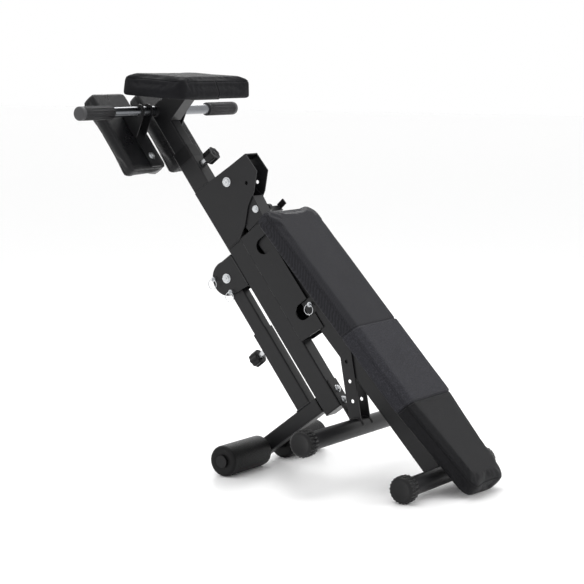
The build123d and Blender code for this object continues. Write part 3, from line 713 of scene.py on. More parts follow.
def grown(name, growth, verts, edges, values, attributes=None):
    """Run a tree on points or edges and keep the result as a plain mesh."""
    mesh = bpy.data.meshes.new(name)
    mesh.from_pydata([tuple(v) for v in verts], edges, [])
    for label, (kind, numbers) in (attributes or {}).items():
        layer = mesh.attributes.new(label, kind, "POINT")
        field = "vector" if kind == "FLOAT_VECTOR" else "value"
        for slot, number in zip(layer.data, numbers):
            setattr(slot, field, number)
    piece = new_object(name, mesh)
    modifier = piece.modifiers.new(growth.tree.name, "NODES")
    modifier.node_group = growth.tree
    for label, value in values.items():
        modifier[growth.ids[label]] = value
    return settled(piece)


def settled(piece):
    """Replace a piece's mesh with what its modifiers make, and remove them."""
    bpy.context.view_layer.update()
    graph = bpy.context.evaluated_depsgraph_get()
    made = bpy.data.meshes.new_from_object(piece.evaluated_get(graph))
    made.name = piece.name
    piece.modifiers.clear()
    piece.data = made
    return piece


def loop_edges(loops, closed=True):
    """Points and edges of several lines of points."""
    verts, edges = [], []
    for loop in loops:
        start = len(verts)
        verts += loop
        edges += [(start + i, start + i + 1) for i in range(len(loop) - 1)]
        if closed:
            edges.append((len(verts) - 1, start))
    return verts, edges


# ---------------------------------------------------------------- upholstery

def merged_copy(name, node):
    """A new object with a CAD node's mesh, its doubled points merged."""
    build = bmesh.new()
    build.from_mesh(frame["nodes"][node].data)
    bmesh.ops.remove_doubles(build, verts=build.verts, dist=1e-6)
    mesh = bpy.data.meshes.new(name)
    build.to_mesh(mesh)
    build.free()
    return new_object(name, mesh)


def stuffed(name, node, member, base_high, pads, swell):
    """A pad that swells from its CAD block under cloth pressure; its base stays flat.

    base_high says whether the board is at the high end of the member's across direction.
    """
    low, high = member.span(node)
    middle = (low + high) / 2
    base = high.z if base_high else low.z
    piece = merged_copy(name, node)
    for vert in piece.data.vertices:
        p = member.inverse @ vert.co
        for axis in (0, 1):
            half = (high[axis] - low[axis]) / 2
            p[axis] = middle[axis] + (p[axis] - middle[axis]) * (1 - pads.inset / half)
        p.z = base + (p.z - base) * (1 - pads.inset / (high.z - low.z))
        vert.co = member.matrix @ p
    remesh = piece.modifiers.new("remesh", "REMESH")
    remesh.mode = "VOXEL"
    remesh.voxel_size = pads.voxel
    settled(piece)
    swollen(piece, member, base, pads, swell)
    smooth = piece.modifiers.new("subdivision", "SUBSURF")
    smooth.levels = 1
    smooth.render_levels = 1
    settled(piece)
    piece.data.shade_smooth()
    return piece


def swollen(piece, member, base, pads, swell):
    """Blow a pad up as cloth, with its base pinned, and cap how far each point moves."""
    start = [v.co.copy() for v in piece.data.vertices]
    pinned = piece.vertex_groups.new(name="board")
    depth = 1.5 * pads.voxel
    near = [
        v.index for v in piece.data.vertices if abs((member.inverse @ v.co).z - base) < depth
    ]
    pinned.add(near, 1.0, "REPLACE")
    cloth = piece.modifiers.new("cloth", "CLOTH")
    cloth.settings.quality = 4
    cloth.settings.mass = 0.3
    cloth.settings.tension_stiffness = 30
    cloth.settings.compression_stiffness = 20
    cloth.settings.bending_stiffness = 2
    cloth.settings.use_pressure = True
    cloth.settings.uniform_pressure_force = pads.pressure
    cloth.settings.vertex_group_mass = pinned.name
    cloth.settings.effector_weights.gravity = 0
    cloth.collision_settings.use_collision = False
    cloth.point_cache.frame_start = 1
    cloth.point_cache.frame_end = pads.frames
    scene = bpy.context.scene
    for number in range(1, pads.frames + 1):
        scene.frame_set(number)
    settled(piece)
    scene.frame_set(1)
    for vert, rest in zip(piece.data.vertices, start):
        moved = vert.co - rest
        if moved.length > swell:
            vert.co = rest + moved.normalized() * swell


def surface(piece):
    return BVHTree.FromPolygons(
        [v.co for v in piece.data.vertices], [tuple(p.vertices) for p in piece.data.polygons]
    )


def squared(value):
    """Spread an angle's sine or cosine towards the corners of a box."""
    return (1 if value > 0 else -1) * abs(value) ** 0.5


def loop_on(tree, centre, first, second, count):
    """A closed line where rays from a centre, swept round a plane, leave a pad."""
    points = []
    for i in range(count):
        angle = 2 * pi * (i + 0.5) / count
        way = first * squared(cos(angle)) + second * squared(sin(angle))
        points.append(tree.ray_cast(centre, way)[0])
    for _ in range(3):
        points = [
            (points[i - 1] + points[i] * 2 + points[(i + 1) % count]) / 4 for i in range(count)
        ]
    return points


def groove(piece, loops, width, depth):
    """Press narrow channels into a pad along lines of points."""
    dense = []
    for loop in loops:
        for a, b in zip(loop, loop[1:] + loop[:1]):
            steps = max(1, int((b - a).length / (width / 3)))
            dense += [a.lerp(b, i / steps) for i in range(steps)]
    tree = KDTree(len(dense))
    for i, point in enumerate(dense):
        tree.insert(point, i)
    tree.balance()
    normals = [v.normal.copy() for v in piece.data.vertices]
    for vert, normal in zip(piece.data.vertices, normals):
        distance = tree.find(vert.co)[2]
        if distance < 3 * width:
            vert.co -= normal * depth * exp(-((distance / width) ** 2))


def lifted(loop, tree, height):
    """A line of points moved off a surface along its normals."""
    points = []
    for point in loop:
        spot, normal, _, _ = tree.find_nearest(point)
        points.append(spot + normal * height)
    return points


def welt(name, loops, radius, material, body):
    """Piping: closed tubes along seams."""
    piece = new_object(name, joined(name, [tube_along(l, radius, 8, True) for l in loops]))
    return wear(piece, material, body)


def stitched(name, loops, sewing, material, body, closed=True):
    """Rows of stitches along lines of points."""
    verts, edges = loop_edges(loops, closed)
    piece = grown(name, TREES["beads"], verts, edges, {
        "Spacing": sewing.stitch_pitch, "Width": sewing.thread_width,
        "Length": sewing.stitch_length, "Variation": 0.08, "Seed": 3, "Material": material,
    })
    return wear(piece, material, body)


def under_cloth(name, tree, member, node, base_high, sewing, body):
    """The stapled dust cloth on a pad's board, and its staples."""
    low, high = member.span(node)
    middle = (low + high) / 2
    way = 1 if base_high else -1
    base = high.z if base_high else low.z
    inner = base - way * 6 * MM
    half = (high - low) / 2
    down = member.down * half.x
    across = Vector((0, half.y, 0))
    edge = loop_on(tree, member.at(middle.x, middle.y, inner), down, across, 120)
    outline = []
    for point in edge:
        p = member.inverse @ point
        p.x = middle.x + (p.x - middle.x) * (1 - sewing.cloth_inset / half.x)
        p.y = middle.y + (p.y - middle.y) * (1 - sewing.cloth_inset / half.y)
        outline.append(p)
    levels = (base - way * 2 * MM, base + way * 0.35 * MM)
    rows = [[member.at(p.x, p.y, level) for p in outline] for level in levels]
    cloth = new_object(name, mesh_from(name, *ring_stack(rows), smooth=False))
    wear(cloth, FINISH["dust_cloth"], body)
    line = [
        member.at(
            middle.x + (p.x - middle.x) * (1 - 7 * MM / half.x),
            middle.y + (p.y - middle.y) * (1 - 7 * MM / half.y), base + way * 0.4 * MM,
        )
        for p in outline
    ]
    verts, edges = loop_edges([line])
    staples = grown(name + "_staples", TREES["beads"], verts, edges, {
        "Spacing": sewing.staple_pitch, "Width": 0.9 * MM, "Length": 11 * MM,
        "Variation": 0.05, "Seed": 5, "Material": FINISH["zinc"],
    })
    wear(staples, FINISH["zinc"], body)


# ---------------------------------------------------------------- sizes and colours

class ChairLook(bpy.types.PropertyGroup):
    """Colours and grain of the finishes."""
    frame_colour: FloatVectorProperty(
        name="Frame Colour", description="Powder coat of the steel frame", subtype="COLOR",
        default=(0.007, 0.007, 0.008),
    )
    frame_roughness: FloatProperty(
        name="Frame Roughness", description="Gloss of the powder coat", default=0.40,
    )
    plastic_colour: FloatVectorProperty(
        name="Plastic Colour", description="Caps, knobs and plugs", subtype="COLOR",
        default=(0.004, 0.004, 0.0045),
    )
    leather_colour: FloatVectorProperty(
        name="Leather Colour", description="Covers of the pads", subtype="COLOR",
        default=(0.009, 0.009, 0.011),
    )
    foam_colour: FloatVectorProperty(
        name="Foam Colour", description="Foam rollers", subtype="COLOR",
        default=(0.003, 0.003, 0.0033),
    )
    # Partly the grips' own grey foam tone and partly a painted highlight: lightened well past the
    # roller foam to carry the light from above on the grips.
    grip_colour: FloatVectorProperty(
        name="Grip Colour", description="Hand grips", subtype="COLOR",
        default=(0.045, 0.045, 0.048),
    )
    thread_colour: FloatVectorProperty(
        name="Thread Colour", description="Seams of the pads", subtype="COLOR",
        default=(0.030, 0.030, 0.033),
    )
    floor_colour: FloatVectorProperty(
        name="Floor Colour", description="Studio floor", subtype="COLOR",
        default=(0.985, 0.985, 0.985),
    )
    grain_size: FloatProperty(
        name="Grain Size", description="Pitch of the leather grain", unit="LENGTH",
        default=0.0022,
    )
    weave_pitch: FloatProperty(
        name="Weave Pitch", description="Pitch of the weave on the upper bench cover",
        unit="LENGTH", default=0.0052,
    )


class ChairPads(bpy.types.PropertyGroup):
    """How the pads are stuffed and where their seams run."""
    voxel: FloatProperty(
        name="Voxel", description="Mesh size of a pad before it is smoothed", unit="LENGTH",
        default=0.005,
    )
    pressure: FloatProperty(name="Pressure", description="Stuffing pressure", default=4.0)
    frames: IntProperty(name="Frames", description="Steps of the cloth run", default=20)
    inset: FloatProperty(
        name="Inset", description="How much smaller a pad starts", unit="LENGTH", default=0.004,
    )
    upper_seam: FloatProperty(
        name="Upper Seam", description="Seam across the bench, from the hinge bolt",
        unit="LENGTH", default=0.597,
    )
    lower_seam: FloatProperty(
        name="Lower Seam", description="Second seam across the bench, from the hinge bolt",
        unit="LENGTH", default=0.852,
    )
    wrap_rise: FloatProperty(
        name="Wrap Rise", description="How far the middle wrap stands proud", unit="LENGTH",
        default=0.0022,
    )
    welt_radius: FloatProperty(
        name="Welt Radius", description="Piping on the pads' edges", unit="LENGTH",
        default=0.0015,
    )
    channel_width: FloatProperty(
        name="Channel Width", description="Width of a sewn channel", unit="LENGTH",
        default=0.0035,
    )
    channel_depth: FloatProperty(
        name="Channel Depth", description="Depth of a sewn channel", unit="LENGTH",
        default=0.0022,
    )


class ChairSewing(bpy.types.PropertyGroup):
    """Stitches and staples."""
    stitch_pitch: FloatProperty(
        name="Stitch Pitch", description="From one stitch to the next", unit="LENGTH",
        default=0.0052,
    )
    stitch_length: FloatProperty(
        name="Stitch Length", description="Length of a stitch", unit="LENGTH", default=0.0038,
    )
    thread_width: FloatProperty(
        name="Thread Width", description="Thickness of the thread", unit="LENGTH",
        default=0.0009,
    )
    seam_offset: FloatProperty(
        name="Seam Offset", description="A row of stitches from its seam", unit="LENGTH",
        default=0.005,
    )
    staple_pitch: FloatProperty(
        name="Staple Pitch", description="From one staple to the next", unit="LENGTH",
        default=0.032,
    )
    cloth_inset: FloatProperty(
        name="Cloth Inset", description="Edge of the dust cloth from the pad's edge",
        unit="LENGTH", default=0.016,
    )


class ChairHardware(bpy.types.PropertyGroup):
    """Fasteners, caps, knobs and welds."""
    cap_ribs: IntProperty(name="Cap Ribs", description="Ribs round a floor cap", default=22)
    rib_radius: FloatProperty(
        name="Rib Radius", description="Half the thickness of a cap's rib", unit="LENGTH",
        default=0.0036,
    )
    edge_radius: FloatProperty(
        name="Edge Radius", description="Rounding of plate and tube edges", unit="LENGTH",
        default=0.0008,
    )
    knob_lobes: IntProperty(name="Knob Lobes", description="Lobes round a pull knob", default=8)
    knob_length: FloatProperty(
        name="Knob Length", description="Length of a pull knob", unit="LENGTH", default=0.029,
    )
    weld_width: FloatProperty(
        name="Weld Width", description="Width of a weld bead", unit="LENGTH", default=0.0048,
    )
    weld_ripple: FloatProperty(
        name="Weld Ripple", description="From one ripple of a weld to the next", unit="LENGTH",
        default=0.0022,
    )


def look():
    return bpy.context.scene.chair_look


def pads():
    return bpy.context.scene.chair_pads


def sewing():
    return bpy.context.scene.chair_sewing


def hardware():
    return bpy.context.scene.chair_hardware


FINISH = {}
TREES = {}


# ---------------------------------------------------------------- operators

class CHAIR_OT_finishes(bpy.types.Operator):
    """Make the finishes and give each CAD node its own"""
    bl_idname = "chair.finishes"
    bl_label = "Finishes"

    def execute(self, context):
        tone = look()
        leather = tone.leather_colour
        FINISH.update({
            "frame_paint": powder_coat(tone),
            "black_plastic": moulded_plastic(tone),
            "zinc": zinc_plate(),
            "bar_steel": drawn_steel(),
            # The grip foam's colour holds a painted highlight from the light above as well as its
            # own tone.
            "grip_foam": foam_skin("grip_foam", tone.grip_colour, 0.55, 0.5),
            "roller_foam": foam_skin("roller_foam", tone.foam_colour, 0.44, 0.2),
            "bench_leather": bench_leather(tone, pads().upper_seam, pads().lower_seam),
            "hip_leather": plain_leather(
                "hip_leather", shade_of(leather, 0.5), 0.30, tone.grain_size, 0.5, 0.22
            ),
            "top_leather": plain_leather(
                "top_leather", shade_of(leather, 0.7), 0.66, tone.grain_size, 1.0, 0.12
            ),
            "thread": sewing_thread("thread", tone.thread_colour),
            "dust_cloth": dust_cloth(),
            "weld": weld_metal(tone),
        })
        FINISH["axle_steel"] = FINISH["black_plastic"]
        FINISH["leatherette"] = FINISH["hip_leather"]
        for part in frame["record"]["subparts"]:
            node = frame["nodes"][part["node"]]
            node.data.materials.clear()
            node.data.materials.append(FINISH[part["material_slot"]])
        TREES.update(beads=bead_tree(), ribs=rib_tree(), fasteners=fastener_tree())
        return {"FINISHED"}


class CHAIR_OT_steelwork(bpy.types.Operator):
    """Round the edges of the painted plates and tubes, where the light catches them"""
    bl_idname = "chair.steelwork"
    bl_label = "Steelwork"

    def execute(self, context):
        flat_angle, edge_angle = radians(0.5), radians(40)
        for part in frame["record"]["subparts"]:
            if part["material_slot"] != "frame_paint":
                continue
            node = part["node"]
            piece = merged_copy(node + "_steel", node)
            build = bmesh.new()
            build.from_mesh(piece.data)
            bmesh.ops.dissolve_limit(
                build, angle_limit=flat_angle, verts=build.verts, edges=build.edges
            )
            build.to_mesh(piece.data)
            build.free()
            piece.data.shade_smooth()
            bevel = piece.modifiers.new("bevel", "BEVEL")
            bevel.width = hardware().edge_radius
            bevel.segments = 2
            bevel.limit_method = "ANGLE"
            bevel.angle_limit = edge_angle
            weighted = piece.modifiers.new("weighted_normals", "WEIGHTED_NORMAL")
            weighted.mode = "FACE_AREA"
            weighted.weight = 100
            settled(piece)
            body = body_of(frame["nodes"][node])[0]
            wear(piece, FINISH["frame_paint"], body)
            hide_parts(node)
        return {"FINISHED"}


class CHAIR_OT_bench_pad(bpy.types.Operator):
    """Stuff and sew the long bench pad"""
    bl_idname = "chair.bench_pad"
    bl_label = "Bench Pad"

    def execute(self, context):
        sizes = pads()
        low, high = BENCH.span("bench_pad")
        pad = stuffed("bench_cushion", "bench_pad", BENCH, False, sizes, 7 * MM)
        middle = (low + high) / 2
        normals = [v.normal.copy() for v in pad.data.vertices]
        for vert, normal in zip(pad.data.vertices, normals):
            along, _, across = BENCH.inverse @ vert.co
            into = min(along - sizes.upper_seam, sizes.lower_seam - along)
            rise = sizes.wrap_rise * min(1, max(0, into / (3 * MM)))
            if across > low.z + 8 * MM:
                vert.co += normal * rise
        tree = surface(pad)
        down = BENCH.down * (high.x - low.x) / 2
        side = Vector((0, (high.y - low.y) / 2, 0))
        thick = BENCH.out * (high.z - low.z) / 2

        def across_at(along):
            return loop_on(tree, BENCH.at(along, 0, middle.z), side, thick, 120)

        edge = loop_on(tree, BENCH.at(middle.x, 0, high.z - 13 * MM), down, side, 360)
        hem = loop_on(tree, BENCH.at(middle.x, 0, low.z + 9 * MM), down, side, 300)
        seams = [across_at(sizes.upper_seam), across_at(sizes.lower_seam)]
        groove(pad, seams, sizes.channel_width, sizes.channel_depth)
        groove(pad, [edge], sizes.channel_width, sizes.channel_depth * 0.6)
        groove(pad, [hem], sizes.channel_width, sizes.channel_depth * 0.4)
        tree = surface(pad)
        wear(pad, FINISH["bench_leather"], "bench")
        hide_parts("bench_pad")
        piping = [lifted(edge, tree, 0.4 * MM)]
        welt("bench_piping", piping, sizes.welt_radius, FINISH["bench_leather"], "bench")
        off = sewing().seam_offset
        rows = [across_at(sizes.upper_seam - off), across_at(sizes.upper_seam + off)]
        rows += [across_at(sizes.lower_seam - off), across_at(sizes.lower_seam + off)]
        rows = [lifted(row, tree, 0) for row in rows]
        stitched("bench_stitches", rows, sewing(), FINISH["thread"], "bench")
        under_cloth("bench_dust_cloth", tree, BENCH, "bench_pad", False, sewing(), "bench")
        return {"FINISHED"}


class CHAIR_OT_hip_pads(bpy.types.Operator):
    """Stuff and sew the two hip pads"""
    bl_idname = "chair.hip_pads"
    bl_label = "Hip Pads"

    def execute(self, context):
        sizes = pads()
        for side in ("near", "far"):
            node = "hip_pad_" + side
            low, high = POST.span(node)
            pad = stuffed("hip_cushion_" + side, node, POST, True, sizes, 9 * MM)
            tree = surface(pad)
            middle = (low + high) / 2
            down = POST.down * (high.x - low.x) / 2
            across = Vector((0, (high.y - low.y) / 2, 0))
            front = POST.at(middle.x, middle.y, low.z + 15 * MM)
            back = POST.at(middle.x, middle.y, high.z - 10 * MM)
            edge = loop_on(tree, front, down, across, 160)
            hem = loop_on(tree, back, down, across, 160)
            groove(pad, [edge], sizes.channel_width, sizes.channel_depth * 0.8)
            groove(pad, [hem], sizes.channel_width, sizes.channel_depth * 0.6)
            tree = surface(pad)
            wear(pad, FINISH["hip_leather"], "hip_carriage")
            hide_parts(node)
            welt(
                "hip_piping_" + side, [lifted(edge, tree, 0.5 * MM)], sizes.welt_radius,
                FINISH["hip_leather"], "hip_carriage",
            )
        return {"FINISHED"}


class CHAIR_OT_top_pad(bpy.types.Operator):
    """Stuff and sew the small top pad"""
    bl_idname = "chair.top_pad"
    bl_label = "Top Pad"

    def execute(self, context):
        sizes = pads()
        low, high = TOP.span("top_pad")
        pad = stuffed("top_cushion", "top_pad", TOP, False, sizes, 7 * MM)
        middle = (low + high) / 2
        half = (high - low) / 2
        pucker(pad, TOP, low, high)
        tree = surface(pad)
        down = TOP.down * half.x
        across = Vector((0, half.y, 0))
        lid = TOP.at(middle.x, 0, high.z - 9 * MM)
        edge = loop_on(tree, lid, down, across, 220)
        joins = []
        for way in (1, -1):
            reach = TOP.down * way
            heights = [low.z + 6 * MM + i * MM for i in range(int((high.z - low.z) / MM) - 15)]
            joins.append([
                tree.ray_cast(TOP.at(middle.x, 0, height), reach)[0] for height in heights
            ])
        groove(pad, [edge], sizes.channel_width, sizes.channel_depth * 0.8)
        for join in joins:
            groove(pad, [join + join[-2:0:-1]], sizes.channel_width * 0.7, sizes.channel_depth)
        tree = surface(pad)
        wear(pad, FINISH["top_leather"], "hip_carriage")
        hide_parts("top_pad")
        welt(
            "top_piping", [lifted(edge, tree, 0.6 * MM)], sizes.welt_radius,
            FINISH["top_leather"], "hip_carriage",
        )
        off = sewing().seam_offset
        rows = []
        for join in joins:
            for shift in (-off, off):
                moved = [point + Vector((0, shift, 0)) for point in join]
                rows.append(lifted(moved, tree, 0))
        stitched(
            "top_stitches", rows, sewing(), FINISH["thread"], "hip_carriage", closed=False
        )
        under_cloth("top_dust_cloth", tree, TOP, "top_pad", False, sewing(), "hip_carriage")
        return {"FINISHED"}


def pucker(piece, member, low, high):
    """Soft upright folds in the standing sides of a pad, where the cover is pulled under."""
    normals = [v.normal.copy() for v in piece.data.vertices]
    for vert, normal in zip(piece.data.vertices, normals):
        p = member.inverse @ vert.co
        standing = 1 - abs(normal.dot(member.out))
        height = (p.z - low.z) / (high.z - low.z)
        if standing < 0.3:
            continue
        across = p.x + p.y
        wave = sin(across * 190 + 3 * sin(across * 37)) * 0.6 + sin(across * 83 + 1) * 0.8
        vert.co += normal * wave * 0.7 * MM * standing * sin(pi * min(1, max(0, height)))


class CHAIR_OT_rollers(bpy.types.Operator):
    """Turn the foam rollers"""
    bl_idname = "chair.rollers"
    bl_label = "Foam Rollers"

    def execute(self, context):
        x, z = cross_axis("axle")
        for side, body in (("near", "roller_left"), ("far", "roller_right")):
            node = "roller_" + side
            low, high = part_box(node)
            radius = (high[0] - low[0]) / 2
            length = high[1] - low[1]
            place = aimed((x, (low[1] + high[1]) / 2, z), (0, 1, 0))
            profile = rounded_profile(radius, -length / 2, length / 2, 9 * MM, 9 * MM, 8)
            inner = 20 * MM
            dish = [(radius * 0.02, 0.6 * MM), (inner, 0.6 * MM), (inner + 2 * MM, 0)]
            first = [(r, -length / 2 + h) for r, h in dish]
            last = [(r, length / 2 - h) for r, h in reversed(dish)]
            shape = turned_shape(first + profile[1:-1] + last, place, 96)
            roller = new_object("foam_" + node, joined("foam_" + node, [shape]))
            wear(roller, FINISH["roller_foam"], body)
            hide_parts(node)
        return {"FINISHED"}


class CHAIR_OT_grips(bpy.types.Operator):
    """Turn the foam grips of the handlebar"""
    bl_idname = "chair.grips"
    bl_label = "Hand Grips"

    def execute(self, context):
        x, z = cross_axis("handlebar")
        for side, way in (("near", -1), ("far", 1)):
            node = "grip_" + side
            low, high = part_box(node)
            radius = (high[0] - low[0]) / 2
            length = high[1] - low[1]
            root = low[1] if way > 0 else high[1]
            place = aimed((x, root, z), (0, way, 0))
            profile = rounded_profile(radius, 0, length, 2 * MM, 5 * MM, 6)
            lip = 7 * MM
            waist = [(radius, lip), (radius * 0.975, lip + 2 * MM)]
            shoulder = [(radius * 0.985, length * 0.5), (radius, length - 14 * MM)]
            shape = turned_shape(profile[:7] + waist + shoulder + profile[7:], place, 56)
            grip = new_object("foam_" + node, joined("foam_" + node, [shape]))
            wear(grip, FINISH["grip_foam"], "hip_carriage")
            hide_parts(node)
        return {"FINISHED"}


class CHAIR_OT_floor_caps(bpy.types.Operator):
    """Mould the ribbed caps of the two stabilizers"""
    bl_idname = "chair.floor_caps"
    bl_label = "Floor Caps"

    def execute(self, context):
        sizes = hardware()
        for end, body in (("front", "post"), ("rear", "bench")):
            shapes, middles, facing = [], [], []
            for side, way in (("near", -1), ("far", 1)):
                node = f"{end}_cap_{side}"
                low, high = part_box(node)
                x, z = cross_axis(node)
                radius = (high[0] - low[0]) / 2
                length = high[1] - low[1]
                core = radius - 2.4 * MM
                root = high[1] if way < 0 else low[1]
                place = aimed((x, root, z), (0, way, 0))
                profile = rounded_profile(core, 0, length, 2 * MM, 6 * MM, 7)
                rim = core - 10 * MM
                dish = [(rim, length), (rim - 1.5 * MM, length - 1.2 * MM)]
                end_face = dish + [(core * 0.02, length - 1.2 * MM)]
                shapes.append(turned_shape(profile[:-1] + end_face, place, 66))
                middles.append(place @ Vector((0, 0, length * 0.47)))
                facing.append((0, way, 0))
            name = end + "_floor_caps"
            core_piece = new_object(name, joined(name, shapes))
            wear(core_piece, FINISH["black_plastic"], body)
            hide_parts(f"{end}_cap_near", f"{end}_cap_far")
            ribs = grown(name + "_ribs", TREES["ribs"], middles, [], {
                "Ribs": sizes.cap_ribs, "Ring_Radius": radius - sizes.rib_radius,
                "Rib_Radius": sizes.rib_radius, "Rib_Length": length * 0.70,
                "Material": FINISH["black_plastic"],
            }, {"facing": ("FLOAT_VECTOR", facing)})
            wear(ribs, FINISH["black_plastic"], body)
        return {"FINISHED"}


class CHAIR_OT_knobs(bpy.types.Operator):
    """Mould the lobed pull knobs and turn their plungers"""
    bl_idname = "chair.knobs"
    bl_label = "Pull Knobs"

    def execute(self, context):
        lobes = hardware().knob_lobes
        length = hardware().knob_length
        for node, body, way in (("post_knob", "hip_knob", 1), ("arm_knob", "roller_knob", -1)):
            low, high = POST.span(node)
            along = (low.x + high.x) / 2
            tip, end = (low.z, high.z) if way > 0 else (high.z, low.z)
            base = end - way * length
            out = POST.out * way
            radius = (high.y - low.y) / 2

            def lobe(angle, height):
                return 1 - 0.055 * (1 - cos(lobes * angle)) if 1 * MM < height else 1

            place = aimed(POST.at(along, 0, base), out)
            profile = rounded_profile(radius, 0, length, 2.5 * MM, 3.5 * MM, 5)[:-1]
            dish = [(13 * MM, length), (12 * MM, length - 1.5 * MM)]
            dish += [(7 * MM, length - 1.5 * MM), (6 * MM, length), (0.4 * MM, length + 0.3 * MM)]
            grip = turned_shape(profile + dish, place, 16 * lobes, lobe)
            collar = turned_shape(
                rounded_profile(8.5 * MM, -1.2 * MM, 1 * MM, 0.5 * MM, 0.5 * MM, 3), place, 32
            )
            name = "moulded_" + node
            knob = new_object(name, joined(name, [grip, collar]))
            wear(knob, FINISH["black_plastic"], body)
            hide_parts(node)
            reach = abs(base - tip)
            rod_place = aimed(POST.at(along, 0, tip), out)
            rod = turned_shape(
                rounded_profile(5 * MM, 0, reach + 2 * MM, 1 * MM, 0.5 * MM, 3), rod_place, 32
            )
            rod_name = node.replace("knob", "plunger")
            plunger = new_object(rod_name, joined(rod_name, [rod]))
            wear(plunger, FINISH["zinc"], body)
        return {"FINISHED"}


class CHAIR_OT_fasteners(bpy.types.Operator):
    """Set the washers, heads and bolt ends on their seats"""
    bl_idname = "chair.fasteners"
    bl_label = "Fasteners"

    def execute(self, context):
        washer, head = 2 * MM, 7 * MM
        shank_radius, clip_radius, clip_height = 5 * MM, 6.5 * MM, 2 * MM
        latch_size = 0.75
        for body, through, faced in (
            ("bench", ("latch_bolt",), ()),
            ("post", ("hinge_bolt", "arm_bolt"), ("foot_bolt_upper", "foot_bolt_lower")),
            ("hip_carriage", (), ("hip_bolt_near", "hip_bolt_far")),
        ):
            seats, facing, sizes, shanks = [], [], [], []
            for node in through:
                x, z = cross_axis(node)
                near_end, far_end = -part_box(node)[0][1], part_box(node)[1][1]
                seat = near_end - washer - head
                clipped = far_end > near_end + 1 * MM
                for way in (-1, 1):
                    seats.append((x, way * seat, z))
                    facing.append((0, way, 0))
                    sizes.append(latch_size if clipped else 1.0)
                place = aimed((x, -seat, z), (0, 1, 0))
                rod = [(shank_radius, 0), (shank_radius, 2 * seat)]
                if clipped:
                    end = seat + far_end
                    clip = end - clip_height
                    rod = [rod[0], (shank_radius, clip), (clip_radius, clip), (clip_radius, end)]
                shanks.append(turned_shape(rod, place, 24))
            for node in faced:
                low, high = POST.span(node)
                size = 0.79
                middle = (low + high) / 2
                seats.append(POST.at(middle.x, middle.y, high.z - (washer + head - 1 * MM)))
                facing.append(tuple(POST.out))
                sizes.append(size)
                place = aimed(POST.at(middle.x, middle.y, low.z), POST.out)
                shanks.append(turned_shape([(4 * MM, 0), (4 * MM, 4 * MM)], place, 20))
            name = body + "_fasteners"
            heads = grown(name, TREES["fasteners"], seats, [], {
                "Washer_Radius": 14 * MM, "Washer_Height": washer, "Head_Radius": 11 * MM,
                "Head_Height": head, "Material": FINISH["zinc"],
            }, {"facing": ("FLOAT_VECTOR", facing), "size": ("FLOAT", sizes)})
            wear(heads, FINISH["zinc"], body)
            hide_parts(*through, *faced)
            shank_name = body + "_bolt_shanks"
            shank = new_object(shank_name, joined(shank_name, shanks))
            wear(shank, FINISH["zinc"], body)
        return {"FINISHED"}


def circle_about(x, y, z, radius, start=0.0, turn=2 * pi, steps=48):
    """Points of an arc about a Y axis."""
    return [
        Vector((x + radius * cos(start + turn * i / steps), y,
                z + radius * sin(start + turn * i / steps)))
        for i in range(steps + 1)
    ]


def straight(member, start, end):
    """A line of two points in member coordinates."""
    return [member.at(*start), member.at(*end)]


